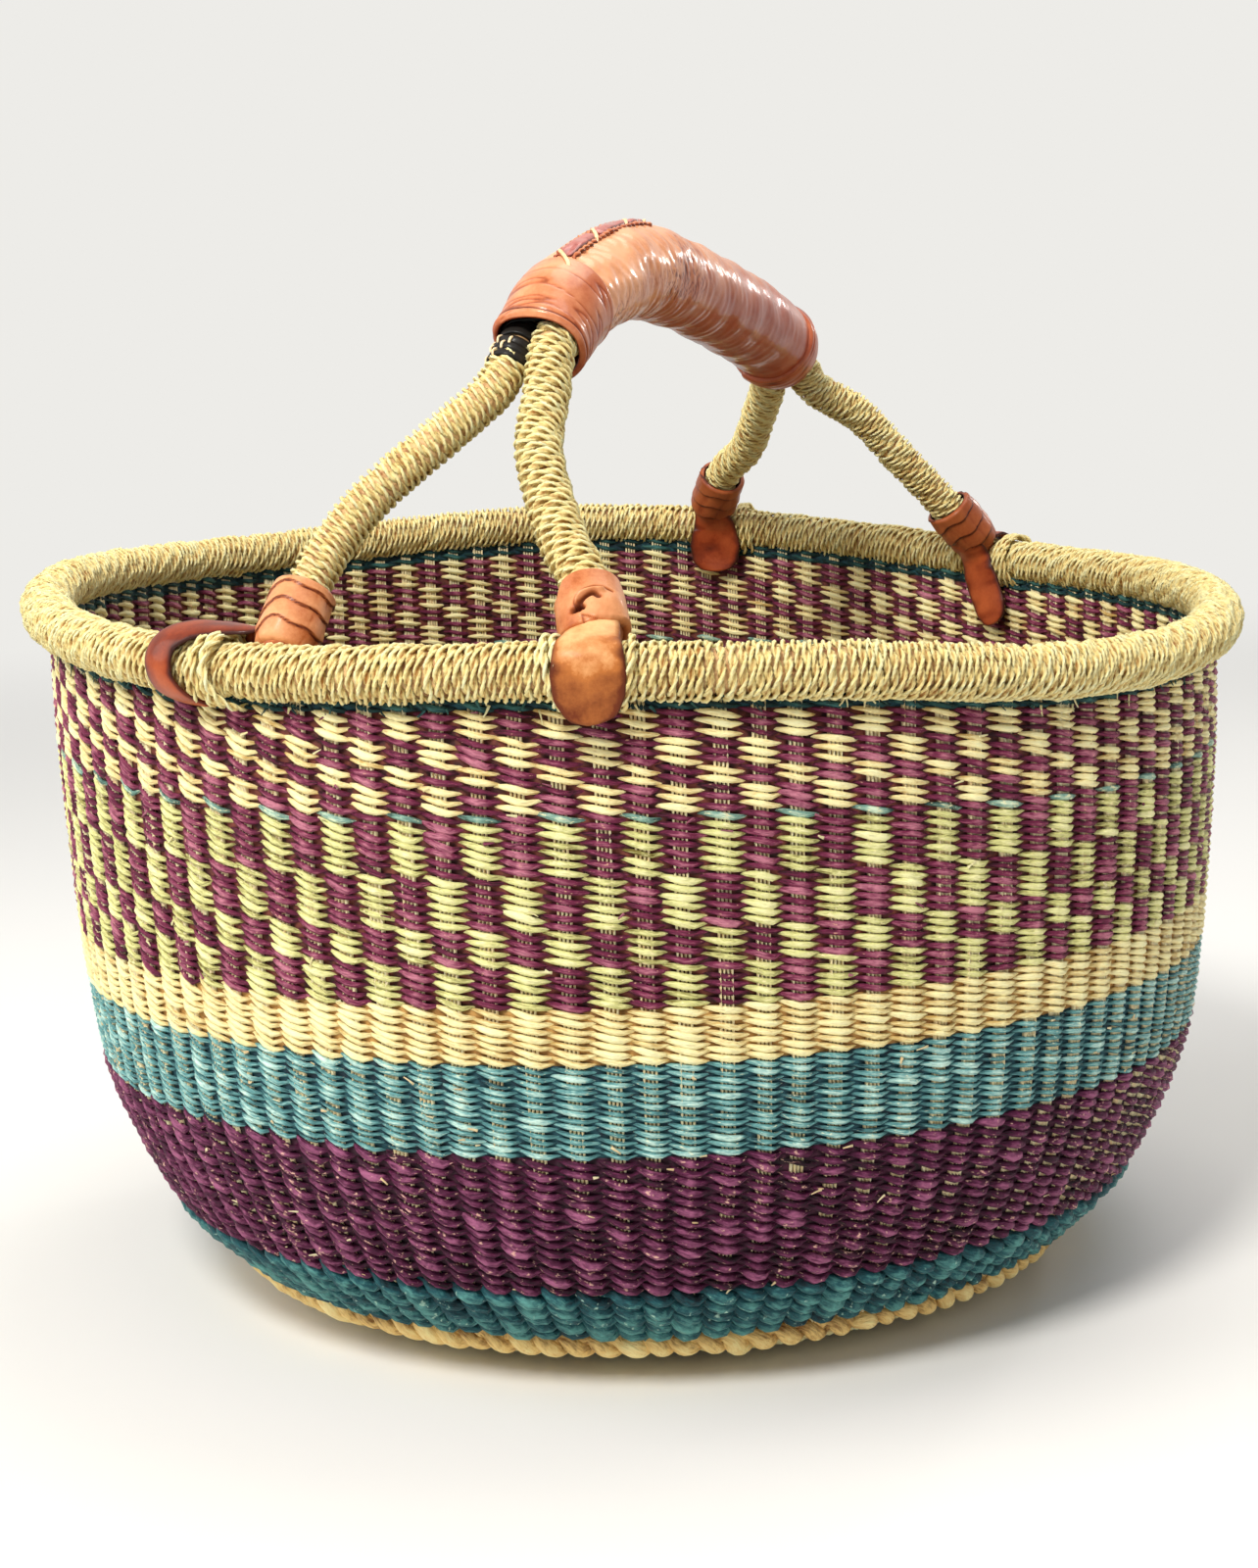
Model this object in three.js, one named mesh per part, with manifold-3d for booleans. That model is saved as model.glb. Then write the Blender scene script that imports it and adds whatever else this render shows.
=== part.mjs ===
// Round twined grass basket with two grass bails held under one leather grip.
// Millimetres, +Z up. The origin is the centre of the flat underside, and +Y runs to the far side of the rim.
// Angles round the basket start at +X and grow anticlockwise, seen from above.
import * as THREE from 'three';
import { mergeVertices } from 'three/addons/utils/BufferGeometryUtils.js';
import Module from 'manifold-3d';

const wasm = await Module();
wasm.setup();

// Clearances
const fitGap = 0.3;
const bindGap = 0.9;
const overrun = 4;

// Rim: a bundle of stake ends bound with grass cord
const rimRadius = 205;
const rimTubeRadius = 8.9;
const rimCoreRadius = 5.8;
const rimTurnDepth = 0.7;
const rimTurns = 60;
const rimFallRight = 9;
const rimRiseFar = 11;
const rimSideSag = 2;
const rimRipple = 2.3;

// Wall: bands of twined weft, each a height along the wall, from the foot to the rim
const wallThickness = 5.6;
const baseRise = 9.8;
const footRadius = 4.5;
const footLift = 5.1;
const tealLowerHeight = 21;
const purpleHeight = 48.2;
const tealUpperHeight = 28.8;
const naturalHeight = 16.9;
const greenChecksHeight = 61.4;
const naturalChecksHeight = 30;
const tealTopHeight = 6.1;

// Radius of the middle of the wall at each of those heights, as shares of the rim radius
const baseEdgeShare = 0.615;
const footShare = 0.728;
const tealLowerBottomShare = 0.745;
const tealLowerTopShare = 0.844;
const purpleMiddleShare = 0.906;
const purpleTopShare = 0.946;
const tealUpperTopShare = 0.9645;
const naturalTopShare = 0.971;

// Stakes: each rib stands for the bundles of straw beside it
const stakeRibs = 10;
const stakeFacet = 2;
const stakeWidth = 9;
const stakeThickness = 1.6;
const hubRadius = 30;

// Handle: four legs, two bails and one grip, in a plane that leans off the view direction
const handleTurn = THREE.MathUtils.degToRad(67);
const handleOffsetX = 17;
const handleOffsetY = -9;
const gripFrontReach = 114;
const gripRearReach = 116;
const gripEndRise = 84.5;
const gripCrownRise = 27;
const bailRadius = 5.3;
const bailGap = 1.2;
const legSpread = 8.9;

// Leg winding
const windingThickness = 1.7;
const windingWidthShare = 0.72;
const windingLoops = 12;
const windingSteps = 8;
const bareLegLength = 11;

// Grip
const paddingThickness = 1.4;
const leatherThickness = 1.7;
const bandThickness = 2.5;
const frontBandLength = 30;
const rearBandLength = 11;
const bandOverhang = 4;
const lacingLength = 78;
const lashingLength = 13;
const lashingThickness = 1.3;
const lashingLoops = 3;
const lacingWidth = 9;
const lacingThickness = 1.2;

// Feet
const collarThickness = 2.2;
const collarLength = 21;
const saddleThickness = 1.8;
const saddleGap = 0.6;
const saddleDrop = 3.4;
const loopCordRadius = 1.2;
const loopTurns = 2;
const loopPitch = 3.3;
const notchRoom = 2.5;

// Facet counts
const ringSides = 40;
const rimSides = 8;
const tubeSides = 8;
const gripSides = 10;
const gripSteps = 12;
const legSteps = 16;
const collarSteps = 3;

const turn = 2 * Math.PI;
const colours = {
  natural: { color: 0xe9cf88, roughness: 0.72 },
  stake: { color: 0xd9c07c, roughness: 0.8 },
  checks: { color: 0x9a6f62, roughness: 0.74 },
  greenChecks: { color: 0x8c8550, roughness: 0.74 },
  purple: { color: 0x55233f, roughness: 0.7 },
  teal: { color: 0x3f8485, roughness: 0.7 },
  darkTeal: { color: 0x1d5352, roughness: 0.72 },
  leather: { color: 0xb8633f, roughness: 0.42 },
  darkLeather: { color: 0x8e3a2e, roughness: 0.45 },
  tan: { color: 0xc07d45, roughness: 0.6 },
  black: { color: 0x17130f, roughness: 0.7 },
};

const basket = new THREE.Group();

function place(name, geometry, finish) {
  const material = new THREE.MeshStandardMaterial({ ...finish, metalness: 0 });
  const mesh = new THREE.Mesh(geometry, material);
  mesh.name = name;
  basket.add(mesh);
}

// Closed mesh made of rings of points: each ring joins the next, and the ends are capped or join up
function ringsToGeometry(rings, joined = false) {
  const sides = rings[0].length;
  const positions = rings.flat().flatMap((point) => point.toArray());
  const faces = [];
  const spans = joined ? rings.length : rings.length - 1;
  for (let i = 0; i < spans; i += 1) {
    const here = i * sides;
    const next = ((i + 1) % rings.length) * sides;
    for (let j = 0; j < sides; j += 1) {
      const after = (j + 1) % sides;
      faces.push(here + j, here + after, next + after, here + j, next + after, next + j);
    }
  }
  if (!joined) {
    const last = (rings.length - 1) * sides;
    for (let j = 1; j < sides - 1; j += 1) {
      faces.push(0, j + 1, j, last, last + j, last + j + 1);
    }
  }
  return facesToGeometry(positions, faces);
}

function facesToGeometry(positions, faces) {
  const geometry = new THREE.BufferGeometry();
  geometry.setAttribute('position', new THREE.Float32BufferAttribute(positions, 3));
  geometry.setIndex(faces);
  return geometry;
}

// Closed geometry as a solid that can be joined and cut, without the faces that a pole flattens
function toSolid(geometry) {
  const bare = geometry.clone();
  bare.deleteAttribute('normal');
  bare.deleteAttribute('uv');
  const merged = mergeVertices(bare);
  const corners = Array.from(merged.index.array);
  const kept = [];
  for (let i = 0; i < corners.length; i += 3) {
    const face = corners.slice(i, i + 3);
    if (new Set(face).size === 3) kept.push(...face);
  }
  const mesh = new wasm.Mesh({
    numProp: 3,
    vertProperties: new Float32Array(merged.attributes.position.array),
    triVerts: new Uint32Array(kept),
  });
  return new wasm.Manifold(mesh);
}

function fromSolid(solid) {
  const mesh = solid.getMesh();
  return facesToGeometry(Array.from(mesh.vertProperties), Array.from(mesh.triVerts));
}

// Height of the wavy rim above its mean at an angle round the basket
function rimWave(angle) {
  const lean = rimRiseFar * Math.sin(angle) - rimFallRight * Math.cos(angle);
  return lean - rimSideSag * Math.cos(2 * angle) + rimRipple * Math.cos(4 * angle);
}

// Stations up the middle of the wall: radius and height above the floor, in a level basket
const halfWall = wallThickness / 2;
const wallTopRadius = rimRadius - halfWall;
const footHeight = halfWall + baseRise;
const heights = { tealLowerBottom: footHeight + footLift };
heights.tealLowerTop = heights.tealLowerBottom + tealLowerHeight;
heights.purpleTop = heights.tealLowerTop + purpleHeight;
heights.tealUpperTop = heights.purpleTop + tealUpperHeight;
heights.naturalTop = heights.tealUpperTop + naturalHeight;
heights.greenTop = heights.naturalTop + greenChecksHeight;
heights.naturalChecksTop = heights.greenTop + naturalChecksHeight;
heights.wallTop = heights.naturalChecksTop + tealTopHeight;
const rimHeight = heights.wallTop + rimCoreRadius + 2 * fitGap;

const stations = {
  baseEdge: [baseEdgeShare * rimRadius, halfWall],
  foot: [footShare * rimRadius, footHeight],
  tealLowerBottom: [tealLowerBottomShare * rimRadius, heights.tealLowerBottom],
  tealLowerTop: [tealLowerTopShare * rimRadius, heights.tealLowerTop],
  purpleMiddle: [purpleMiddleShare * rimRadius, (heights.tealLowerTop + heights.purpleTop) / 2],
  purpleTop: [purpleTopShare * rimRadius, heights.purpleTop],
  tealUpperTop: [tealUpperTopShare * rimRadius, heights.tealUpperTop],
  naturalTop: [naturalTopShare * rimRadius, heights.naturalTop],
  greenTop: [wallTopRadius, heights.greenTop],
  naturalChecksTop: [wallTopRadius, heights.naturalChecksTop],
  wallTop: [wallTopRadius, heights.wallTop],
};
const stationNames = Object.keys(stations);
const middleLine = [new THREE.Vector2(0, halfWall)];
stationNames.forEach((name) => middleLine.push(new THREE.Vector2(...stations[name])));

// Unit normal of the middle line at a station, turned to the outside of the basket
function outwardNormal(index) {
  const before = middleLine[Math.max(index - 1, 0)];
  const after = middleLine[Math.min(index + 1, middleLine.length - 1)];
  const toHere = middleLine[index].clone().sub(before).normalize();
  const fromHere = after.clone().sub(middleLine[index]).normalize();
  const along = toHere.add(fromHere).normalize();
  return new THREE.Vector2(along.y, -along.x);
}

// A wall point at an angle: above the natural band its height stretches to follow the rim's wave
function wallPoint(radius, height, angle) {
  const climb = (height - heights.naturalTop) / (heights.wallTop - heights.naturalTop);
  const lift = THREE.MathUtils.clamp(climb, 0, 1) * rimWave(angle);
  return new THREE.Vector3(radius * Math.cos(angle), radius * Math.sin(angle), height + lift);
}

// Closed outline round the middle line between two stations, at an offset to each side
function stripOutline(first, last, offset, startGap) {
  const from = stationNames.indexOf(first) + 1;
  const to = stationNames.indexOf(last) + 1;
  const outer = [];
  const inner = [];
  for (let i = from; i <= to; i += 1) {
    const centre = middleLine[i].clone();
    if (i === from) {
      const along = middleLine[i + 1].clone().sub(centre).normalize();
      centre.addScaledVector(along, startGap);
    }
    const normal = outwardNormal(i);
    outer.push(centre.clone().addScaledVector(normal, offset));
    inner.push(centre.clone().addScaledVector(normal, -offset));
  }
  return outer.concat(inner.reverse());
}

// Outline of radius and height turned round the basket
function turnOutline(outline) {
  const rings = [];
  for (let i = 0; i < ringSides; i += 1) {
    const angle = (-turn * i) / ringSides;
    rings.push(outline.map((point) => wallPoint(point.x, point.y, angle)));
  }
  return ringsToGeometry(rings, true);
}

// Stakes: a hub in the base and ribs that climb inside the wall to the rim
function stakeRib(angle, offset, width, reach) {
  const line = middleLine.map((point, index) => ({ point, normal: outwardNormal(index) }));
  line[0] = { point: new THREE.Vector2(hubRadius / 2, halfWall), normal: new THREE.Vector2(0, -1) };
  const last = line[line.length - 1];
  last.point = last.point.clone().add(new THREE.Vector2(0, reach));
  const across = new THREE.Vector3(-Math.sin(angle), Math.cos(angle), 0);
  const facet = Math.cos(Math.PI / ringSides);
  const rings = line.map(({ point, normal }) => {
    const outer = point.clone().addScaledVector(normal, offset);
    const inner = point.clone().addScaledVector(normal, -offset);
    const spots = [[outer, -1], [outer, 1], [inner, 1], [inner, -1]];
    return spots.map(([spot, side]) => {
      const corner = wallPoint(spot.x * facet, spot.y, angle);
      return corner.addScaledVector(across, (side * width) / 2);
    });
  });
  return toSolid(ringsToGeometry(rings));
}

function hubDisc(radius, thickness) {
  const disc = new THREE.CylinderGeometry(radius, radius, thickness, ringSides / 2);
  disc.rotateX(Math.PI / 2);
  disc.translate(0, 0, halfWall);
  return toSolid(disc);
}

function stakeCage(offset, width, hub, reach) {
  let cage = hubDisc(hub, 2 * offset);
  for (let i = 0; i < stakeRibs; i += 1) {
    const angle = (turn * (i * (ringSides / stakeRibs) + stakeFacet + 1 / 2)) / ringSides;
    cage = cage.add(stakeRib(angle, offset, width, reach));
  }
  return cage;
}

const stakes = stakeCage(stakeThickness / 2, stakeWidth, hubRadius, 0);
const stakeRoom = stakeCage(
  stakeThickness / 2 + fitGap,
  stakeWidth + 2 * fitGap,
  hubRadius + fitGap,
  overrun,
);
place('warp_stakes', fromSolid(stakes), colours.stake);

// Base: a flat woven disc whose edge turns up to the foot row
const baseTop = 2 * halfWall;
const footCentre = new THREE.Vector2(...stations.foot);
const baseSlope = footCentre.clone().sub(new THREE.Vector2(...stations.baseEdge)).normalize();
const baseNormal = new THREE.Vector2(baseSlope.y, -baseSlope.x);
const baseEnd = footCentre.clone().addScaledVector(baseSlope, -footRadius - fitGap);
const baseBend = new THREE.Vector2(...stations.baseEdge);
const bendShift = halfWall * Math.tan(Math.atan2(baseSlope.y, baseSlope.x) / 2);
const baseOutline = [
  new THREE.Vector2(0, 0),
  new THREE.Vector2(baseBend.x + bendShift, 0),
  baseEnd.clone().addScaledVector(baseNormal, halfWall),
  baseEnd.clone().addScaledVector(baseNormal, -halfWall),
  new THREE.Vector2(baseBend.x - bendShift, baseTop),
  new THREE.Vector2(0, baseTop),
];
const baseDisc = new THREE.LatheGeometry(baseOutline, ringSides);
baseDisc.rotateX(Math.PI / 2);
place('weft_base', fromSolid(toSolid(baseDisc).subtract(stakeRoom)), colours.natural);

// Foot: one thick twined row that the side rises from
const footOutline = [];
for (let i = 0; i < tubeSides; i += 1) {
  const angle = (turn * (i + 1 / 2)) / tubeSides;
  const spoke = new THREE.Vector2(Math.cos(angle), Math.sin(angle));
  footOutline.push(footCentre.clone().addScaledVector(spoke, footRadius));
}
const footRow = toSolid(turnOutline(footOutline));
place('weft_foot', fromSolid(footRow.subtract(stakeRoom)), colours.natural);

// Side: one band of weft after another, each threaded by the stakes
const bands = [
  ['weft_teal_lower', 'tealLowerBottom', 'tealLowerTop', colours.darkTeal],
  ['weft_purple', 'tealLowerTop', 'purpleTop', colours.purple],
  ['weft_teal_upper', 'purpleTop', 'tealUpperTop', colours.teal],
  ['weft_natural', 'tealUpperTop', 'naturalTop', colours.natural],
  ['weft_checks_green', 'naturalTop', 'greenTop', colours.greenChecks],
  ['weft_checks_natural', 'greenTop', 'naturalChecksTop', colours.checks],
];
bands.forEach(([name, first, last, finish]) => {
  const band = toSolid(turnOutline(stripOutline(first, last, halfWall, fitGap)));
  place(name, fromSolid(band.subtract(stakeRoom)), finish);
});

// Rim: a point on the tube round the rim's centreline, by angle round the basket and round the tube
function rimPoint(angle, around, radius) {
  const out = rimRadius + radius * Math.cos(around);
  const height = rimHeight + rimWave(angle) + radius * Math.sin(around);
  return new THREE.Vector3(out * Math.cos(angle), out * Math.sin(angle), height);
}

const coreRings = [];
for (let i = 0; i < ringSides; i += 1) {
  const ring = [];
  for (let j = 0; j < rimSides; j += 1) {
    ring.push(rimPoint((-turn * i) / ringSides, (turn * j) / rimSides, rimCoreRadius));
  }
  coreRings.push(ring);
}
place('rim_core', ringsToGeometry(coreRings, true), colours.stake);

// Rim winding: a sleeve with a ridge for each shown turn, open below where the wall enters
const lipRoom = 3 * fitGap;
const boreSides = 6;
const outerLip = -Math.PI / 2 + Math.asin(lipRoom / rimTubeRadius);
const innerLip = 1.5 * Math.PI - Math.asin((wallThickness + lipRoom) / rimTubeRadius);
const boreFacet = Math.cos((innerLip - outerLip) / (2 * boreSides));
const boreRadius = (rimCoreRadius + fitGap) / boreFacet;
const windingRings = [];
for (let i = 0; i < 2 * rimTurns; i += 1) {
  const angle = (-turn * i) / (2 * rimTurns);
  const radius = rimTubeRadius - (i % 2) * rimTurnDepth;
  const ring = [];
  for (let j = 0; j <= rimSides; j += 1) {
    ring.push(rimPoint(angle, outerLip + ((innerLip - outerLip) * j) / rimSides, radius));
  }
  windingRings.push(ring);
}
const boreRings = [];
const boreEvery = (2 * rimTurns) / ringSides;
for (let i = 0; i < 2 * rimTurns; i += boreEvery) {
  const angle = (-turn * i) / (2 * rimTurns);
  const ring = [];
  for (let j = 0; j <= boreSides; j += 1) {
    ring.push(rimPoint(angle, outerLip + ((innerLip - outerLip) * j) / boreSides, boreRadius));
  }
  boreRings.push(ring);
}

// Closed sleeve: the strips of its outside, those of its bore, then the two lips that join them
function sleeveGeometry(outside, bore, every) {
  const positions = outside.concat(bore).flat().flatMap((point) => point.toArray());
  const wide = outside[0].length;
  const narrow = bore[0].length;
  const boreStart = outside.length * wide;
  const faces = [];
  const strip = (start, width, rings, inward) => {
    for (let i = 0; i < rings; i += 1) {
      const here = start + i * width;
      const next = start + ((i + 1) % rings) * width;
      for (let j = 0; j < width - 1; j += 1) {
        const [a, b, c, d] = [here + j, here + j + 1, next + j + 1, next + j];
        if (inward) faces.push(a, d, c, a, c, b);
        else faces.push(a, b, c, a, c, d);
      }
    }
  };
  strip(0, wide, outside.length, false);
  strip(boreStart, narrow, bore.length, true);
  const lip = (outerColumn, boreColumn, flip) => {
    for (let i = 0; i < bore.length; i += 1) {
      const boreHere = boreStart + i * narrow + boreColumn;
      const boreNext = boreStart + ((i + 1) % bore.length) * narrow + boreColumn;
      const outerSpot = (k) => ((i * every + k) % outside.length) * wide + outerColumn;
      const fan = [[outerSpot(every), boreNext, boreHere]];
      for (let k = 0; k < every; k += 1) {
        fan.push([outerSpot(k), outerSpot(k + 1), boreHere]);
      }
      fan.forEach(([a, b, c]) => (flip ? faces.push(a, c, b) : faces.push(a, b, c)));
    }
  };
  lip(0, 0, false);
  lip(wide - 1, narrow - 1, true);
  return facesToGeometry(positions, faces);
}
place('rim_winding', sleeveGeometry(windingRings, boreRings, boreEvery), colours.natural);

// Handle: places in its own plane are along, side and height, and turn into the basket's frame
function handlePoint(along, side, height) {
  const x = handleOffsetX + along * Math.cos(handleTurn) - side * Math.sin(handleTurn);
  const y = handleOffsetY + along * Math.sin(handleTurn) + side * Math.cos(handleTurn);
  return new THREE.Vector3(x, y, height);
}

// Grip line: shares of its length and of its crown's rise
const gripLineShares = [
  [0, 0], [0.1, 0.48], [0.19, 0.75], [0.29, 0.94], [0.39, 0.99], [0.53, 0.87], [0.76, 0.56], [0.9, 0.31],
  [1, 0],
];
const gripEndHeight = rimHeight + gripEndRise;
const gripLength = gripFrontReach + gripRearReach;
function gripSpot(share, side) {
  const [alongShare, riseShare] = share;
  const along = alongShare * gripLength - gripFrontReach;
  return handlePoint(along, side, gripEndHeight + riseShare * gripCrownRise);
}
const gripLine = new THREE.CatmullRomCurve3(gripLineShares.map((share) => gripSpot(share, 0)));

// Feet: the angle of each on the rim and the lean of its collar round the rim in degrees, its side
// of the handle, and the leg's run as shares of the way from the grip's end to the foot
const feet = {
  front_left: {
    angle: 238.9, strapAngle: 229.6, loopAngle: 233.6, end: 0, side: 1, saddleWidth: 13.5,
    lean: -0.7, runShares: [[0.38, 0.25, 0.35], [0.73, 0.79, 0.7]],
  },
  front_right: {
    angle: 266.8, strapAngle: 266.8, loopAngle: 262.6, end: 0, side: -1, saddleWidth: 19.5,
    lean: -1.3, runShares: [[0.48, 0.13, 0.46], [0.87, 0.72, 0.87]],
  },
  rear_left: {
    angle: 79, strapAngle: 79, loopAngle: 75.6, end: 1, side: 1, saddleWidth: 15,
    lean: -2.6, runShares: [[0.5, 0.32, 0.52], [0.79, 0.64, 0.81]],
  },
  rear_right: {
    angle: 43.5, strapAngle: 43, loopAngle: 39.4, end: 1, side: -1, saddleWidth: 15,
    lean: 1.3, runShares: [[0.5, 0.34, 0.4], [0.77, 0.69, 0.72]],
  },
};
const bailSide = bailRadius + bailGap / 2;
const legRadius = bailRadius + bindGap + windingThickness;
const collarRadius = legRadius + collarThickness;
const footSeat = THREE.MathUtils.degToRad(135);
const footReach = rimTubeRadius + saddleGap + saddleThickness + 2 * fitGap;

// A foot stands on the inner top of the rim, and its collar leans a little to one side
function footPlace(foot, back) {
  const angle = foot.angle + (foot.lean * back) / collarLength;
  const tilt = Math.atan((rimRadius * THREE.MathUtils.degToRad(foot.lean)) / collarLength);
  const reach = footReach + collarRadius * Math.abs(Math.sin(tilt)) + back;
  return rimPoint(THREE.MathUtils.degToRad(angle), footSeat, reach);
}

// Leg points from just outside the grip down to the foot
function legPoints(foot) {
  const start = gripSpot(gripLineShares[foot.end * (gripLineShares.length - 1)], 0);
  const finish = footPlace(foot, collarLength);
  const reach = finish.clone().sub(start);
  const alongWay = new THREE.Vector3(Math.cos(handleTurn), Math.sin(handleTurn), 0);
  const sideWay = new THREE.Vector3(-Math.sin(handleTurn), Math.cos(handleTurn), 0);
  const along = reach.dot(alongWay);
  const side = reach.dot(sideWay);
  const first = foot.side * legSpread;
  const points = foot.runShares.map(([alongShare, sideShare, dropShare]) => {
    const point = start.clone().addScaledVector(alongWay, alongShare * along);
    point.addScaledVector(sideWay, first + sideShare * (side - first));
    point.z += dropShare * reach.z;
    return point;
  });
  const leaving = start.clone().addScaledVector(sideWay, foot.side * bailSide);
  const outside = start.clone().addScaledVector(sideWay, foot.side * legSpread);
  outside.addScaledVector(alongWay, Math.sign(along) * bareLegLength);
  outside.z += (bareLegLength * reach.z) / Math.abs(along);
  points.unshift(leaving, outside);
  points.push(finish, footPlace(foot, 0));
  return points;
}

// A leg's line, from its foot up to the grip in front and from the grip down to its foot behind
function legCurve(foot) {
  const points = legPoints(foot);
  if (foot.end === 0) points.reverse();
  return new THREE.CatmullRomCurve3(points, false, 'centripetal');
}

// Frame on a curve at a share of its length: centre, tangent, sideways and up
function frameAt(curve, share) {
  const tangent = curve.getTangentAt(share);
  const side = new THREE.Vector3(0, 0, 1).cross(tangent).normalize();
  const up = tangent.clone().cross(side).normalize();
  return { centre: curve.getPointAt(share), tangent, side, up };
}

function framesAlong(curve, from, to, steps) {
  const frames = [];
  for (let i = 0; i <= steps; i += 1) frames.push(frameAt(curve, from + ((to - from) * i) / steps));
  return frames;
}

// Point on a stadium square to the frame: two half circles, half its height in radius, set apart
function stadiumPoint(frame, width, height, angle) {
  const apart = Math.sign(Math.cos(angle)) * (width - height);
  const point = frame.centre.clone();
  point.addScaledVector(frame.side, apart + height * Math.cos(angle));
  return point.addScaledVector(frame.up, height * Math.sin(angle));
}

function section(frame, width, height, sides) {
  const ring = [];
  for (let j = 0; j < sides; j += 1) {
    ring.push(stadiumPoint(frame, width, height, (turn * j) / sides));
  }
  return ring;
}

function solidTube(frames, radius, sides) {
  return ringsToGeometry(frames.map((frame) => section(frame, radius, radius, sides)));
}

// A sleeve: out along the outside, back along the bore
function hollowTube(frames, outer, bore, sides) {
  const outside = frames.map((frame) => section(frame, outer, outer, sides));
  const inside = frames.map((frame) => section(frame, bore.width, bore.height, sides));
  return ringsToGeometry(outside.concat(inside.reverse()), true);
}

// One unbroken flat cord wound round a curve over a run of its length, its corners at two radii
function windingRingsOn(curve, run, loops, size) {
  const count = loops * size.steps;
  const length = curve.getLength() * (run[1] - run[0]);
  const pitch = length / (loops + 1);
  const half = (pitch * size.widthShare) / 2;
  const rings = [];
  for (let i = 0; i <= count; i += 1) {
    const travelled = half + ((length - 2 * half) * i) / count;
    const angle = (turn * i) / size.steps;
    const corner = (shift, deep) => {
      const share = run[0] + ((travelled + shift) / length) * (run[1] - run[0]);
      const frame = frameAt(curve, share);
      return stadiumPoint(frame, size.width + deep, size.height + deep, angle);
    };
    const thick = size.thickness;
    rings.push([corner(-half, 0), corner(half, 0), corner(half, thick), corner(-half, thick)]);
  }
  return rings;
}

// Least gap between neighbouring turns of a winding, corner to corner
function leastGap(rings, steps) {
  let least = Infinity;
  for (let i = steps; i < rings.length; i += 1) {
    rings[i].forEach((point) => {
      rings[i - steps].forEach((other) => {
        least = Math.min(least, point.distanceTo(other));
      });
    });
  }
  return least;
}

// Frames of the grip's line between two shares, with the same stations for every layer
function gripFrames(from, to) {
  const shares = [from];
  for (let i = 1; i < gripSteps; i += 1) {
    if (i / gripSteps > from && i / gripSteps < to) shares.push(i / gripSteps);
  }
  shares.push(to);
  return shares.map((share) => frameAt(gripLine, share));
}

// Bails: each runs from a front foot through the grip to a rear foot
const bailEnds = { left: [feet.front_left, feet.rear_left], right: [feet.front_right, feet.rear_right] };
Object.entries(bailEnds).forEach(([name, [front, rear]]) => {
  const held = gripFrames(0, 1);
  held.forEach((frame) => frame.centre.addScaledVector(frame.side, front.side * bailSide));
  const frames = framesAlong(legCurve(front), 0, 1, legSteps).slice(0, -1);
  frames.push(...held, ...framesAlong(legCurve(rear), 0, 1, legSteps).slice(1));
  place(`bail_core_${name}`, solidTube(frames, bailRadius, tubeSides), colours.stake);
});

const windingSize = {
  width: bailRadius + bindGap,
  height: bailRadius + bindGap,
  thickness: windingThickness,
  widthShare: windingWidthShare,
  steps: windingSteps,
};
Object.entries(feet).forEach(([name, foot]) => {
  const curve = legCurve(foot);
  const length = curve.getLength();
  const startShare = bareLegLength / length;
  const collarShare = 1 - collarLength / length;
  const windingEnd = collarShare - fitGap / length;
  const onLeg = (from, to) => (foot.end === 0 ? [1 - to, 1 - from] : [from, to]);
  const rings = windingRingsOn(curve, onLeg(startShare, windingEnd), windingLoops, windingSize);
  console.log(`leg_winding_${name}: least gap between turns ${leastGap(rings, windingSteps).toFixed(2)} mm`);
  place(`leg_winding_${name}`, ringsToGeometry(rings), colours.natural);

  // Leather collar round the end of the leg
  const collarFrames = framesAlong(curve, ...onLeg(collarShare, 1), collarSteps);
  const collarHold = bailRadius + bindGap + fitGap;
  const collarBore = { width: collarHold, height: collarHold };
  const collar = hollowTube(collarFrames, collarRadius, collarBore, tubeSides);
  place(`foot_collar_${name}`, collar, colours.leather);
});

// Grip: a lashing at each end of the bails, packing between them, a leather sleeve and two bands
const holdHeight = (bailRadius + fitGap) / Math.cos(Math.PI / gripSides);
const holdWidth = bailSide + holdHeight;
const gripCurveLength = gripLine.getLength();
const gripShare = (distance) => distance / gripCurveLength;
const lashingSize = {
  width: holdWidth,
  height: holdHeight,
  thickness: lashingThickness,
  widthShare: windingWidthShare,
  steps: gripSides,
};
const lashingRuns = {
  front: [0, gripShare(lashingLength)],
  rear: [1 - gripShare(lashingLength), 1],
};
Object.entries(lashingRuns).forEach(([name, run]) => {
  const rings = windingRingsOn(gripLine, run, lashingLoops, lashingSize);
  console.log(`grip_lashing_${name}: least gap between turns ${leastGap(rings, gripSides).toFixed(2)} mm`);
  place(`grip_lashing_${name}`, ringsToGeometry(rings), colours.black);
});

const packingRadius = holdWidth + paddingThickness;
const packingStart = lashingLength + fitGap;
const packingFrames = gripFrames(gripShare(packingStart), 1 - gripShare(packingStart));
const packingBore = { width: holdWidth, height: holdHeight };
place('grip_packing', hollowTube(packingFrames, packingRadius, packingBore, gripSides), colours.stake);

const leatherBore = packingRadius + 2 * fitGap;
const leatherRadius = leatherBore + leatherThickness;
const leatherHold = { width: leatherBore, height: leatherBore };
const leatherRun = [
  gripShare(frontBandLength + fitGap),
  1 - gripShare(rearBandLength + fitGap),
];
const leatherFrames = gripFrames(leatherRun[0], leatherRun[1]);
place('grip_leather', hollowTube(leatherFrames, leatherRadius, leatherHold, gripSides), colours.leather);

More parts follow.
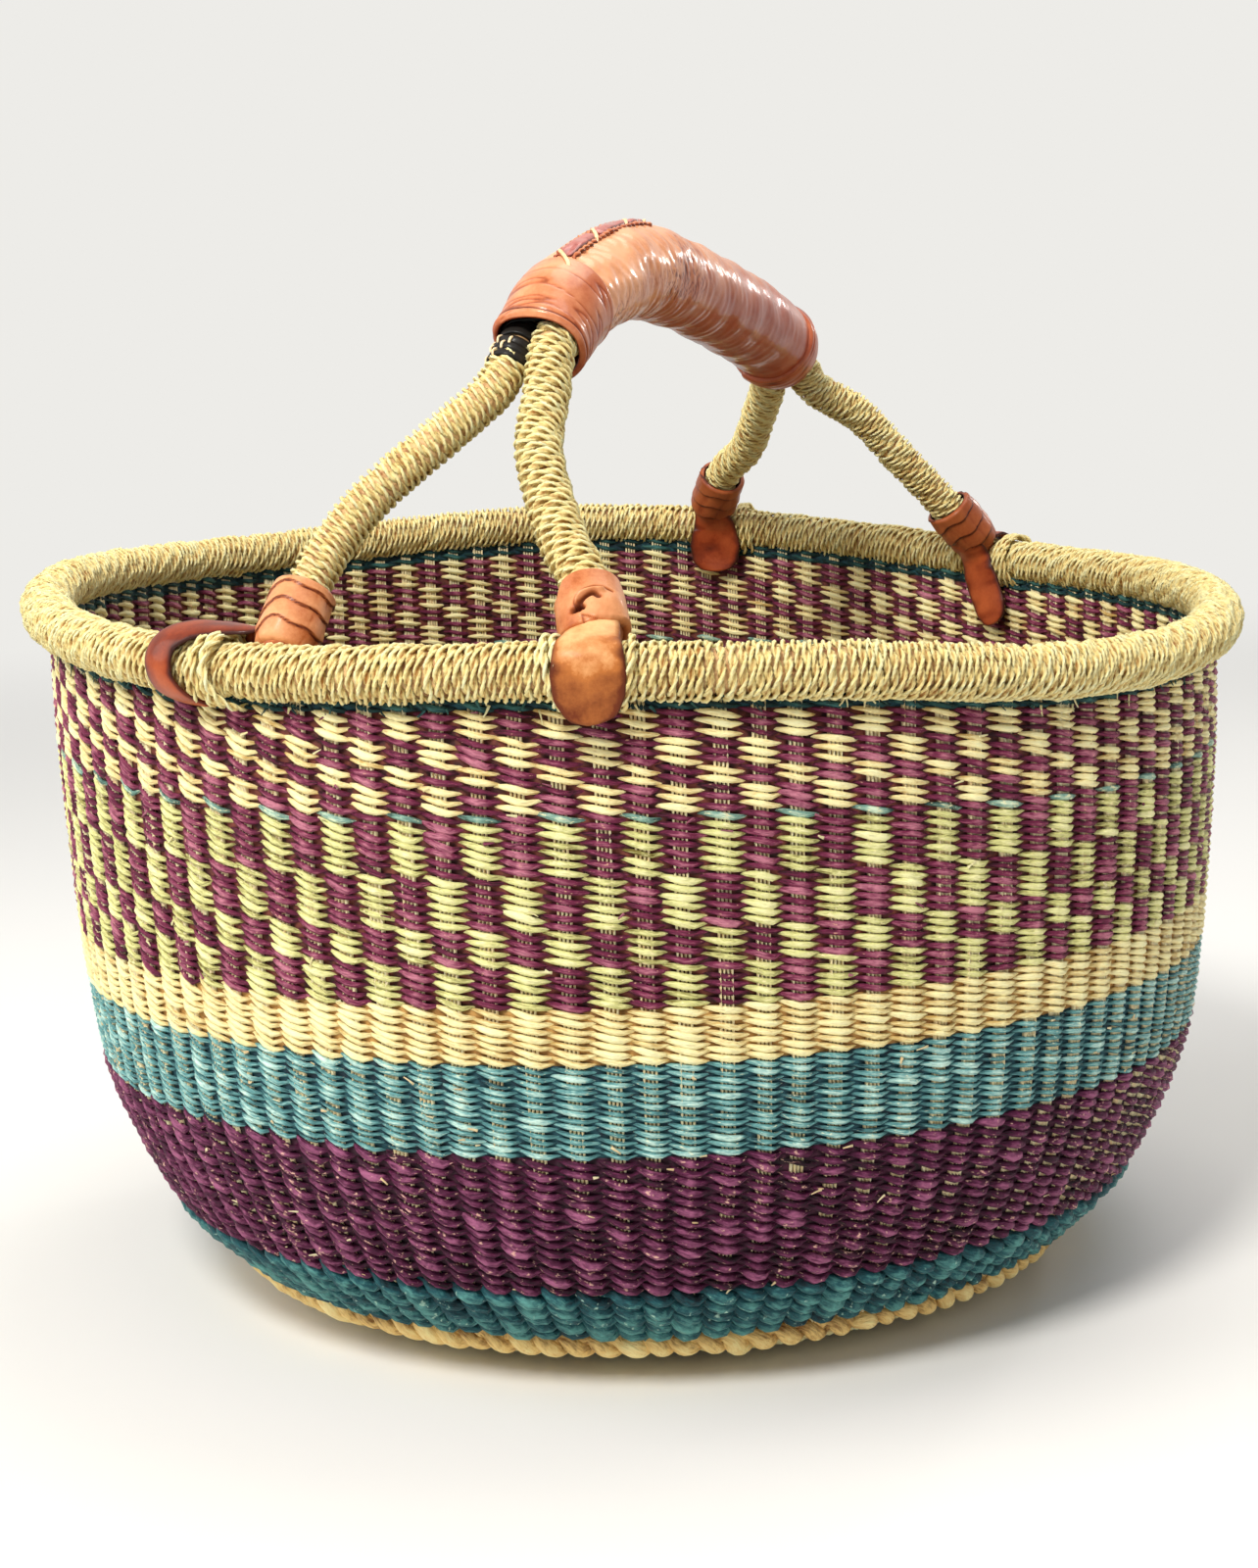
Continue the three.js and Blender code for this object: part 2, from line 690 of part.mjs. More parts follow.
const bandRuns = {
  front: [gripShare(bandOverhang), gripShare(frontBandLength)],
  rear: [1 - gripShare(rearBandLength), 1],
};
Object.entries(bandRuns).forEach(([name, [from, to]]) => {
  const frames = gripFrames(from, to);
  const sleeve = hollowTube(frames, leatherBore + bandThickness, leatherHold, gripSides);
  place(`grip_band_${name}`, sleeve, colours.leather);
});

// Lacing: a dark strip laid along the top of the sleeve
const lacingEnd = leatherRun[0] + gripShare(lacingLength);
const lacingRings = gripFrames(leatherRun[0], lacingEnd).map((frame) => {
  const spot = (side, deep) => {
    const point = frame.centre.clone().addScaledVector(frame.side, (side * lacingWidth) / 2);
    return point.addScaledVector(frame.up, leatherRadius + fitGap + deep);
  };
  return [spot(-1, 0), spot(1, 0), spot(1, lacingThickness), spot(-1, lacingThickness)];
});
place('grip_lacing', ringsToGeometry(lacingRings), colours.darkLeather);

// Saddles: a leather strap over the rim at each foot, both ends hanging beside the wall
const saddleSteps = 9;
const saddleEnd = THREE.MathUtils.degToRad(-30);
Object.entries(feet).forEach(([name, foot]) => {
  const middle = THREE.MathUtils.degToRad(foot.strapAngle);
  const half = foot.saddleWidth / (2 * rimRadius);
  const ringAt = (around, drop) => {
    const corner = (side, deep) => {
      const radius = rimTubeRadius + saddleGap + deep;
      const point = rimPoint(middle + side * half, around, radius);
      point.z -= drop;
      return point;
    };
    return [corner(-1, 0), corner(-1, saddleThickness), corner(1, saddleThickness), corner(1, 0)];
  };
  const drop = rimTubeRadius + saddleDrop + (rimTubeRadius + saddleGap) * Math.sin(saddleEnd);
  const rings = [ringAt(saddleEnd, drop)];
  for (let i = 0; i <= saddleSteps; i += 1) {
    rings.push(ringAt(saddleEnd + ((Math.PI - 2 * saddleEnd) * i) / saddleSteps, 0));
  }
  rings.push(ringAt(Math.PI - saddleEnd, drop));
  place(`foot_saddle_${name}`, ringsToGeometry(rings), colours.tan);
});

// Loops: cord wound round the rim beside each strap, through the top of the weave
const loopRadius = rimTubeRadius + bindGap + loopCordRadius;
const loopSteps = 12;
const loopSides = 5;
const loopRun = loopTurns * loopPitch;
let topBand = toSolid(turnOutline(stripOutline('naturalChecksTop', 'wallTop', halfWall, fitGap)));
topBand = topBand.subtract(stakeRoom);
Object.entries(feet).forEach(([name, foot]) => {
  const middle = THREE.MathUtils.degToRad(foot.loopAngle);
  const rings = [];
  for (let i = 0; i <= loopTurns * loopSteps; i += 1) {
    const wound = i / loopSteps;
    const angle = middle + ((wound - loopTurns / 2) * loopPitch) / rimRadius;
    const around = Math.PI / 2 + turn * wound;
    const ring = [];
    for (let j = 0; j < loopSides; j += 1) {
      const roll = (turn * j) / loopSides;
      const slide = (loopCordRadius * Math.sin(roll)) / rimRadius;
      ring.push(rimPoint(angle + slide, around, loopRadius + loopCordRadius * Math.cos(roll)));
    }
    rings.push(ring);
  }
  console.log(`foot_loop_${name}: least gap between turns ${leastGap(rings, loopSteps).toFixed(2)} mm`);
  place(`foot_loop_${name}`, ringsToGeometry(rings), colours.natural);

  // Notch in the top band that the loops pass through
  const notchTop = rimHeight + rimWave(middle) - loopRadius + loopCordRadius + notchRoom;
  const notchHeight = tealTopHeight + overrun;
  const notch = new THREE.BoxGeometry(2 * wallThickness, loopRun + 4 * loopCordRadius, notchHeight);
  notch.translate(wallTopRadius, 0, notchTop - notchHeight / 2);
  notch.rotateZ(middle);
  topBand = topBand.subtract(toSolid(notch));
});
place('weft_teal_top', fromSolid(topBand), colours.darkTeal);

export default basket;
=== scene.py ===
import bpy
import numpy as np
from mathutils import Matrix, Vector


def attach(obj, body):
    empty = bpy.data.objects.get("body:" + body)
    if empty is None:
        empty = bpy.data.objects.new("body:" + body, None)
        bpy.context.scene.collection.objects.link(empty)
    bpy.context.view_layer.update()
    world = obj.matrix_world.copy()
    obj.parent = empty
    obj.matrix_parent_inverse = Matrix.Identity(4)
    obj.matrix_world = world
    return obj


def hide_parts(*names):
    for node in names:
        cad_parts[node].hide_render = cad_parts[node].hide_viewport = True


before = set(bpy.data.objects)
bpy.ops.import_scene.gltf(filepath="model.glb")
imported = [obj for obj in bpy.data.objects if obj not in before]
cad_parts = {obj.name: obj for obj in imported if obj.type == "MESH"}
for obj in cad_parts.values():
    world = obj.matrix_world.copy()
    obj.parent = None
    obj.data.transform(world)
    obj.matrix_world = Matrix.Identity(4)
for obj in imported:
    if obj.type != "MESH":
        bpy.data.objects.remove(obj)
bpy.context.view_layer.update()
print("frame loaded")

turn = 2 * np.pi
millimetre = 0.001


def unit(vectors):
    return vectors / np.maximum(np.linalg.norm(vectors, axis=-1, keepdims=True), 1e-9)


def ripple(seed, *coordinates, waves=7):
    # sum of sines: sin(k.x + p) over random directions k, about as fine as the coordinates are scaled
    dice = np.random.default_rng(seed)
    total = 0
    for _ in range(waves):
        phase = dice.uniform(0, turn)
        for coordinate in coordinates:
            phase = phase + coordinate * dice.normal()
        total = total + np.sin(phase)
    return total / np.sqrt(waves)


def ringRipple(seed, angle, height, fineness, waves=9):
    # the same round the basket, with a whole number of waves in each turn so that it closes
    dice = np.random.default_rng(seed)
    total = 0
    for _ in range(waves):
        count = dice.integers(1, fineness)
        total = total + np.sin(count * angle + height * dice.normal() / 9 + dice.uniform(0, turn))
    return total / np.sqrt(waves)


def bump(value, middle, width):
    return np.exp(-(((value - middle) / width) ** 2))


def travelled(line):
    # distance along a line at each of its points
    return np.concatenate([[0], np.cumsum(np.linalg.norm(np.diff(line, axis=0), axis=1))])


def measure(line):
    return np.linalg.norm(np.diff(line, axis=0), axis=1).sum()


def evenly(line, count):
    # a line's points again, the same distance apart
    line = np.asarray(line, float)
    length = travelled(line)
    wanted = np.linspace(0, length[-1], count)
    return np.stack([np.interp(wanted, length, line[:, k]) for k in range(line.shape[1])], axis=1)


def spline(points, count):
    # centripetal curve through the points: knots grow with the square root of each gap
    points = np.asarray(points, float)
    points = np.vstack([2 * points[0] - points[1], points, 2 * points[-1] - points[-2]])
    gaps = np.sqrt(np.linalg.norm(np.diff(points, axis=0), axis=1))
    t = np.linspace(0, 1, 60, endpoint=False)[:, None]
    spans = []
    for i in range(1, len(points) - 2):
        before, here, after = gaps[i - 1 : i + 2]
        a, b, c, d = points[i - 1 : i + 3]
        leave = ((b - a) / before - (c - a) / (before + here) + (c - b) / here) * here
        enter = ((c - b) / here - (d - b) / (here + after) + (d - c) / after) * here
        spans.append(
            b + leave * t + (3 * (c - b) - 2 * leave - enter) * t**2
            + (2 * (b - c) + leave + enter) * t**3
        )
    return evenly(np.vstack(spans + [points[-2:-1]]), count)


def framesOn(line):
    # tangent, sideways and up at each point of a line: side = z x tangent, up = tangent x side
    tangent = unit(np.gradient(line, axis=0))
    side = unit(np.cross([0.0, 0.0, 1.0], tangent))
    return tangent, side, np.cross(tangent, side)


def sampleShare(line, share):
    # centre, side, up and tangent at shares of a line whose points are the same distance apart
    index = np.clip(share, 0, 1) * (len(line) - 1)
    tangent, side, up = framesOn(line)
    centre, side, up, tangent = (
        np.stack([np.interp(index, np.arange(len(line)), values[:, k]) for k in range(3)], axis=-1)
        for values in (line, side, up, tangent)
    )
    return centre, unit(side), unit(up), unit(tangent)


def sample(line, at):
    # the same at distances along the line
    return sampleShare(line, np.asarray(at, float) / measure(line))


def ray(side, up, angle):
    # the way out at an angle round a line: side cos + up sin
    return side * np.cos(angle)[..., None] + up * np.sin(angle)[..., None]


def addMesh(name, points, quads, caps, cornerUv, finish, slot, stands, values=None):
    # quads is (n, 4) and caps a list of rings of corners; cornerUv holds one pair for each quad corner
    mesh = bpy.data.meshes.new(name)
    quads = quads.reshape(-1, 4)
    loops = np.concatenate([quads.ravel()] + [np.ravel(cap) for cap in caps])
    sizes = np.concatenate([np.full(len(quads), 4)] + [np.full(len(cap), cap.shape[1]) for cap in caps])
    mesh.vertices.add(len(points))
    mesh.vertices.foreach_set("co", (points * millimetre).astype(np.float32).ravel())
    mesh.loops.add(len(loops))
    mesh.loops.foreach_set("vertex_index", loops.astype(np.int32))
    mesh.polygons.add(len(sizes))
    mesh.polygons.foreach_set("loop_start", (np.cumsum(sizes) - sizes).astype(np.int32))
    mesh.polygons.foreach_set("loop_total", sizes.astype(np.int32))
    mesh.update(calc_edges=True)
    mesh.polygons.foreach_set("use_smooth", np.ones(len(sizes), bool))
    uv = np.zeros((len(loops), 2), np.float32)
    uv[: quads.size] = cornerUv.reshape(-1, 2)
    mesh.uv_layers.new(name="along").data.foreach_set("uv", uv.ravel())
    for key, value in (values or {}).items():
        layer = mesh.attributes.new(key, "FLOAT", "POINT")
        layer.data.foreach_set("value", np.ascontiguousarray(value, np.float32).ravel())
    mesh.materials.append(finish)
    piece = bpy.data.objects.new(name, mesh)
    bpy.context.scene.collection.objects.link(piece)
    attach(piece, "root")
    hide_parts(*stands)


def gridFaces(strands, steps, sides, closed):
    # corner k of quad (i, j): rings i, i, i + 1, i + 1 and sides j, j + 1, j + 1, j
    spans = steps if closed else steps - 1
    s = np.arange(strands)[:, None, None, None]
    i = np.arange(spans)[None, :, None, None] + np.array([0, 0, 1, 1])
    j = np.arange(sides)[None, None, :, None] + np.array([0, 1, 1, 0])
    quads = (s * steps + i % steps) * sides + j % sides
    return quads, i + 0 * j, j + 0 * i


def tubes(centres, out, width, depth, outline, closed=False, roll=None):
    # an outline carried along each path: centre + across * x * depth + beside * y * width,
    # where across is the part of out that is square to the path and beside = tangent x across
    strands, steps = centres.shape[:2]
    if closed:
        ahead = np.roll(centres, -1, axis=1) - np.roll(centres, 1, axis=1)
    else:
        ahead = np.gradient(centres, axis=1)
    tangent = unit(ahead)
    across = unit(out - np.sum(out * tangent, axis=-1, keepdims=True) * tangent)
    beside = np.cross(tangent, across)
    x, y = outline[:, 0], outline[:, 1]
    if roll is not None:
        cos, sin = np.cos(roll)[..., None], np.sin(roll)[..., None]
        x, y = x * cos - y * sin, x * sin + y * cos
    depth = np.broadcast_to(depth, (strands, steps))[..., None]
    width = np.broadcast_to(width, (strands, steps))[..., None]
    points = (
        centres[:, :, None]
        + across[:, :, None] * (x * depth)[..., None]
        + beside[:, :, None] * (y * width)[..., None]
    )
    sides = len(outline)
    quads, i, j = gridFaces(strands, steps, sides, closed)
    length = np.linalg.norm(np.diff(centres, axis=1), axis=-1)
    length = np.concatenate([np.zeros((strands, 1)), np.cumsum(length, axis=1)], axis=1)
    if closed:
        last = np.linalg.norm(centres[:, -1] - centres[:, 0], axis=-1)
        length = np.concatenate([length, length[:, -1:] + last[:, None]], axis=1)
    strand = np.arange(strands)[:, None, None, None]
    along = length[strand, i + 0 * strand] + strand * 37.3  # each strand has its own place in the paint
    around = (j + 0 * strand) / sides + strand * 1.0
    caps = []
    if not closed:
        ring = np.arange(sides)
        start = np.arange(strands)[:, None] * steps * sides
        caps = [start + ring[::-1], start + (steps - 1) * sides + ring]
    return points.reshape(-1, 3), quads, caps, np.stack([along, around], axis=-1)


def circle(sides):
    angles = np.arange(sides) * turn / sides
    return np.stack([np.cos(angles), np.sin(angles)], axis=1)


# two plies side by side, and how far each corner of them stands out, used as painted light: full on the
# plies, painted shade in the groove between them
twoPly = np.array([
    [1, 0], [0.58, 0.5], [0, 0.14], [-0.58, 0.5], [-1, 0], [-0.58, -0.5], [0, -0.14], [0.58, -0.5],
])
plyCrestLight = np.array([1, 0.75, 0, 0.75, 1, 0.75, 0, 0.75])


class Wire:
    # a socket whose sums and products become Math nodes
    def __init__(self, paint, socket):
        self.paint, self.socket = paint, socket

    def maths(self, operation, *others):
        return self.paint.node("ShaderNodeMath", {"operation": operation}, dict(enumerate(others)))

    def __add__(self, other):
        return self.maths("ADD", self, other)

    def __sub__(self, other):
        return self.maths("SUBTRACT", self, other)

    def __mul__(self, other):
        return self.maths("MULTIPLY", self, other)

    def __rmul__(self, other):
        return self.maths("MULTIPLY", other, self)


class Paint:
    # one material: node() takes a type, its settings and what goes into its sockets
    def __init__(self, name):
        self.material = bpy.data.materials.new(name)
        self.material.use_nodes = True
        self.tree = self.material.node_tree
        self.tree.nodes.clear()

    def node(self, kind, settings=None, inputs=None, output=0):
        node = self.tree.nodes.new(kind)
        for key, value in (settings or {}).items():
            setattr(node, key, value)
        for key, value in (inputs or {}).items():
            socket = node.inputs[key] if isinstance(key, int) else self.find(node.inputs, key)
            if isinstance(value, Wire):
                self.tree.links.new(value.socket, socket)
            elif isinstance(value, tuple) and len(value) == 3 and socket.type == "RGBA":
                socket.default_value = (*value, 1)
            else:
                socket.default_value = value
        if not node.outputs:
            return None
        found = self.find(node.outputs, output) if isinstance(output, str) else node.outputs[output]
        return Wire(self, found)

    def find(self, sockets, key):
        return next(s for s in sockets if s.identifier == key or (s.name == key and s.enabled))

    def mix(self, factor, first, second):
        inputs = {"Factor_Float": factor, "A_Color": first, "B_Color": second}
        return self.node("ShaderNodeMix", {"data_type": "RGBA"}, inputs, "Result_Color")

    def value(self, name):
        return self.node("ShaderNodeAttribute", {"attribute_name": name}, output="Fac")

    def scaled(self, vector, scale):
        return self.node("ShaderNodeMapping", {}, {"Vector": vector, "Scale": scale})

    def uv(self, scale):
        return self.scaled(self.node("ShaderNodeUVMap", {"uv_map": "along"}), scale)

    def place(self, scale=(1, 1, 1)):
        return self.scaled(self.node("ShaderNodeTexCoord", output="Object"), scale)

    def noise(self, vector, scale, detail=2.0, rough=0.5):
        inputs = {"Vector": vector, "Scale": scale, "Detail": detail, "Roughness": rough}
        return self.node("ShaderNodeTexNoise", {}, inputs, "Fac")

    def span(self, wire, low, high):
        inputs = {"Value": wire, "From Min": low, "From Max": high}
        return self.node("ShaderNodeMapRange", {"clamp": True}, inputs)

    def finish(self, colour, roughness, height=None, strength=0.4, distance=0.0003, **extra):
        inputs = {"Base Color": colour, "Roughness": roughness}
        if height is not None:
            relief = {"Height": height, "Strength": strength, "Distance": distance}
            inputs["Normal"] = self.node("ShaderNodeBump", {}, relief)
        inputs.update({key.replace("_", " "): value for key, value in extra.items()})
        shader = self.node("ShaderNodeBsdfPrincipled", {}, inputs)
        self.node("ShaderNodeOutputMaterial", {}, {"Surface": shader})
        return self.material


def tone(red, green, blue):
    # colours are chosen as they look on screen; the shader works on ((c + 0.055) / 1.055) ^ 2.4
    return tuple(float(((c + 0.055) / 1.055) ** 2.4) for c in (red, green, blue))


def strawPaint(name, fleckShare, streaks, pale, middle, deep, fleck):
    # straws run along the strand: streaks in the second uv direction, cloudy in the first
    paint = Paint(name)
    fibre = paint.span(paint.noise(paint.uv((0.1, streaks, 1)), 3.0, 3.0, 0.65), 0.3, 0.7)
    broad = paint.span(paint.noise(paint.uv((0.16, streaks * 0.5, 1)), 2.0), 0.3, 0.7)
    patch = paint.noise(paint.place(), 22.0)
    crest = paint.value("crest")
    shade = paint.value("shade")
    # crest light is painted light: lighter on the front of each stitch, painted shade at its crossings and in
    # the gaps
    light = 0.95 * crest + 0.7 * shade + 0.95 * fibre + 0.4 * broad + 0.4 * patch
    light = paint.span(light, 0.95, 2.6)
    low = paint.mix(paint.span(light, 0.0, 0.5), deep, middle)
    body = paint.mix(paint.span(light, 0.5, 1.0), low, pale)
    speck = paint.noise(paint.uv((0.2, 2.4, 1)), 2.4, 2.0, 0.6)
    gather = paint.span(paint.noise(paint.place((1, 1, 0.6)), 40.0), 0.3, 0.7)
    mask = paint.span(speck + 0.1 * gather + 0.08 * crest, 0.9 - fleckShare, 0.98 - fleckShare)
    colour = paint.mix(mask * 0.75, body, fleck)
    height = fibre + 0.5 * broad + 0.3 * speck
    return paint.finish(colour, 0.24 * fibre + 0.45, height, 0.8, 0.0006, Specular_IOR_Level=0.28)


def gapShadePaint(name, dark, light):
    # what shows deep in the weave: the same straw in shadow
    paint = Paint(name)
    grain = paint.noise(paint.place(), 300.0)
    return paint.finish(paint.mix(paint.span(grain, 0.35, 0.65), dark, light), 0.8)


straws = {  # material, share of fleck and number of streaks, then the pale, middle, deep and fleck tones
    "natural": ("natural_straw", 0.1, 2.6,
                (1.0, 0.98, 0.77), (1.0, 0.94, 0.69), (0.82, 0.67, 0.38), (0.92, 0.77, 0.48)),
    "foot": ("foot_straw", 0.12, 4.5,
             (1.0, 0.92, 0.65), (0.95, 0.80, 0.50), (0.52, 0.31, 0.10), (0.86, 0.66, 0.38)),
    "green": ("green_straw", 0.2, 2.6,
              (0.99, 0.97, 0.74), (0.88, 0.87, 0.57), (0.45, 0.39, 0.14), (1.0, 0.95, 0.74)),
    "plum": ("plum_straw", 0.14, 2.6,
             (0.78, 0.49, 0.56), (0.46, 0.13, 0.27), (0.15, 0.0, 0.05), (0.90, 0.70, 0.58)),
    "purple": ("purple_straw", 0.18, 2.6,
               (0.64, 0.36, 0.50), (0.31, 0.03, 0.21), (0.09, 0.0, 0.05), (0.94, 0.76, 0.66)),
    "teal": ("teal_straw", 0.18, 2.6,
             (0.84, 0.96, 0.90), (0.41, 0.65, 0.65), (0.03, 0.19, 0.24), (0.95, 0.95, 0.80)),
    "darkTeal": ("dark_teal_straw", 0.14, 3.2,
                 (0.38, 0.63, 0.60), (0.08, 0.31, 0.34), (0.0, 0.09, 0.13), (0.74, 0.88, 0.80)),
    # shadowTeal is the dark teal painted darker still, as painted shade for the rows under the rim
    "shadowTeal": ("rim_teal_straw", 0.12, 2.6,
                   (0.26, 0.46, 0.44), (0.07, 0.23, 0.23), (0.0, 0.07, 0.09), (0.5, 0.6, 0.45)),
    "fadedTeal": ("faded_teal_straw", 0.24, 2.6,
                  (0.88, 0.95, 0.82), (0.50, 0.66, 0.60), (0.16, 0.28, 0.26), (0.98, 0.95, 0.75)),
    "bare": ("bare_straw", 0.1, 2.6,
             (1.0, 0.96, 0.78), (0.96, 0.82, 0.60), (0.58, 0.36, 0.18), (0.86, 0.68, 0.44)),
    "cord": ("grass_cord", 0.1, 2.6,
             (1.0, 0.99, 0.79), (1.0, 0.91, 0.61), (0.62, 0.40, 0.14), (0.84, 0.64, 0.36)),
}
shadows = {  # material, then its dark and light tones
    "gapShadeBrown": ("brown_heart", (0.50, 0.34, 0.14), (0.74, 0.56, 0.30)),
    "gapShadePlum": ("plum_heart", (0.19, 0.04, 0.04), (0.46, 0.22, 0.17)),
    "gapShadePurple": ("purple_heart", (0.10, 0.0, 0.06), (0.26, 0.06, 0.17)),
    "gapShadeTeal": ("teal_heart", (0.02, 0.11, 0.16), (0.10, 0.30, 0.34)),
}
paints = {}
for key, (name, share, streaks, *tones) in straws.items():
    paints[key] = strawPaint(name, share, streaks, *(tone(*colour) for colour in tones))
for key, (name, *tones) in shadows.items():
    paints[key] = gapShadePaint(name, *(tone(*colour) for colour in tones))
print("straw materials made")


rim = {
    "radius": 205.0, "tubeRadius": 8.9, "height": 236.5,
    "sine": 11, "cosines": {1: -9, 2: -2, 4: 2.3}, "bumps": [(-1.3, 243, 15), (1.4, 289, 11)],
}
wall = {  # radius and height of the middle of the wall, in millimetres, in a level basket
    "baseEdge": (126.1, 2.8), "foot": (149.2, 12.6), "tealLowerBottom": (152.7, 17.7),
    "tealLowerTop": (173.0, 38.7), "purpleMiddle": (185.7, 62.8), "purpleTop": (193.9, 86.9),
    "tealUpperTop": (197.7, 115.7), "naturalTop": (199.1, 132.6), "greenTop": (202.2, 194.0),
    "naturalChecksTop": (202.2, 225.6), "wallTop": (202.2, 230.1),
}
columns = 112


def rimWave(angle):
    # the rim is high at the back and low at the right, with a dip and a hump at the front
    height = rim["sine"] * np.sin(angle)
    for times, share in rim["cosines"].items():
        height = height + share * np.cos(times * angle)
    for share, middle, width in rim["bumps"]:
        height = height + share * bump(np.mod(np.degrees(angle), 360), middle, width)
    return height


baseHeight = wall["baseEdge"][1]
wallLine = spline([(0, baseHeight), (60, baseHeight)] + list(wall.values()), 900)
wallLine[:, 1] = np.maximum(wallLine[:, 1], baseHeight)  # the base stays flat
wallLength = travelled(wallLine)
wallSlope = unit(np.gradient(wallLine, axis=0))


def lengthAt(name):
    # distance up the wall's line from the middle of the base to a named place
    place = np.array(wall[name])
    return wallLength[np.argmin(np.linalg.norm(wallLine - place, axis=1))]


def wallPoint(length, angle, deep):
    # point at a length up the wall, an angle round it and a depth outwards; the top follows the rim's wave
    radius, height, along, rise = (
        np.interp(length, wallLength, values)
        for values in (wallLine[:, 0], wallLine[:, 1], wallSlope[:, 0], wallSlope[:, 1])
    )
    radius = radius + deep * rise
    height = height - deep * along
    climb = np.clip((height - wall["naturalTop"][1]) / (wall["wallTop"][1] - wall["naturalTop"][1]), 0, 1)
    height = height + climb * rimWave(angle)
    point = np.stack([radius * np.cos(angle), radius * np.sin(angle), height + 0 * radius], axis=-1)
    out = np.stack([rise * np.cos(angle), rise * np.sin(angle), -along + 0 * angle], axis=-1)
    return point, unit(out)


twining = {
    "steps": 4, "lean": 0.62, "pinch": 0.5, "swing": 0.85, "plump": 0.8, "thin": 0.95,
    "stray": 0.26, "lift": 0.26, "tilt": 0.25, "uneven": 0.09, "tint": 0.3, "stakeStray": 0.055,
    "leanMore": 1.9, "leanAngle": 214, "leanWidth": 0.62,
}


def stakeAngle(column, length):
    # stakes stand a column apart and stray a little from it, more slowly than the rows cross them
    place = column * turn / columns
    return place + twining["stakeStray"] * turn / columns * ringRipple(5, place, length / 30, 40)


def stitchLean(angle):
    # stitches slope down to the right, more at the front left than elsewhere
    turnFrom = np.angle(np.exp(1j * (angle - np.radians(twining["leanAngle"]))))
    return 1 + twining["leanMore"] * bump(turnFrom, 0, twining["leanWidth"])


def twine(lengths, phases, deep, half, seed, count=columns, steps=twining["steps"],
          lean=twining["lean"], pinch=twining["pinch"]):
    # one closed strand for each row: out = deep cos(pi u), up = -lean sin(pi u), u in columns from its front
    u = np.arange(count * steps) / steps
    lengths, phases, deep, half = (values[:, None] for values in (lengths, phases, deep, half))
    wave = np.pi * (u + phases)
    front = np.cos(wave)
    swing = deep * np.sign(front) * np.abs(front) ** twining["swing"]
    place = u * turn / count
    stitch = np.random.default_rng(seed).normal(0, 1, (3, len(lengths), count))
    own, lift, tilt = stitch[:, :, np.floor(u + 0.5).astype(int) % count]
    level = lengths - lean * half * stitchLean(place) * np.sin(wave) * (1 + twining["tilt"] * tilt)
    level = level + twining["stray"] * ringRipple(seed, place + 0 * lengths, lengths * 2.0, 34)
    level = level + twining["lift"] * lift * front**2 * (half / 1.2)
    points, out = wallPoint(level, stakeAngle(u * columns / count, lengths), swing)
    girth = pinch + (1 - pinch) * np.abs(front) ** twining["plump"]
    width = half * girth * (1 + twining["uneven"] * own)
    # the fifth value, front squared, is painted light: full on the front of each stitch, painted shade where
    # the strand crosses
    return points, out, width, width * twining["thin"], front * front, 0.5 + twining["tint"] * own


def addWeft(name, finish, slot, stands, rows, sides, seed, **more):
    # rows hold length, phase, depth and half width of each strand
    points, out, width, depth, crest, shade = twine(*np.array(rows, float).T, seed, **more)
    outline = circle(sides)
    # painted shade: the sides of each strand are painted darker than its outer face
    sideLight = 0.25 + 0.75 * np.abs(outline[:, 0])  # the sides of a strand lie in the gaps and stay dark
    crest = (0.25 + 0.75 * crest)[..., None] * sideLight
    mesh = tubes(points, out, width, depth, outline, closed=True)
    addMesh(name, *mesh, paints[finish], slot, stands, {"crest": crest, "shade": np.repeat(shade, sides)})


def bandRows(low, high, count, widen=0.0):
    # middles and pitches of the rows between two places, the lower rows wider by a share
    edges = np.linspace(0, 1, count + 1)
    edges = edges + widen * edges * (1 - edges)
    start, end = lengthAt(low), lengthAt(high)
    edges = start + (end - start) * edges
    return (edges[1:] + edges[:-1]) / 2, np.diff(edges)


def pairs(rows, deep, fill):
    # both strands of each row, one column out of step
    return [(length, shift, deep, pitch * fill) for length, pitch in zip(*rows) for shift in (0, 1)]


addWeft("weftTealLower", "darkTeal", "dark_teal_straw", ["weft_teal_lower"],
        pairs(bandRows("tealLowerBottom", "tealLowerTop", 5), 2.2, 0.5), 8, 21, pinch=0.62, lean=0.5)
addWeft("weftPurple", "purple", "purple_straw", ["weft_purple"],
        pairs(bandRows("tealLowerTop", "purpleTop", 14, 0.12), 1.95, 0.41), 6, 22, pinch=0.42)
addWeft("weftTealUpper", "teal", "teal_straw", ["weft_teal_upper"],
        pairs(bandRows("purpleTop", "tealUpperTop", 13), 1.75, 0.4), 6, 23)
addWeft("weftNatural", "natural", "natural_straw", ["weft_natural"],
        pairs(bandRows("tealUpperTop", "naturalTop", 7), 1.75, 0.45), 6, 24)

# checks: rows in tiers, each tier a column out of step with the next; the lists hold the rows of each tier
checks = {"green": [5, 4, 6, 7], "natural": [3, 2, 3, 3], "deep": 1.75, "fill": 0.395}


def checkRows(low, high, tiers, first, shift):
    # one strand of each row between two places, in step with its tier or a column out of it
    lengths, pitches = bandRows(low, high, sum(tiers))
    phases = np.repeat(np.arange(first, first + len(tiers)), tiers) + shift
    return [(*row, checks["deep"], pitch * checks["fill"]) for *row, pitch in zip(lengths, phases, pitches)]


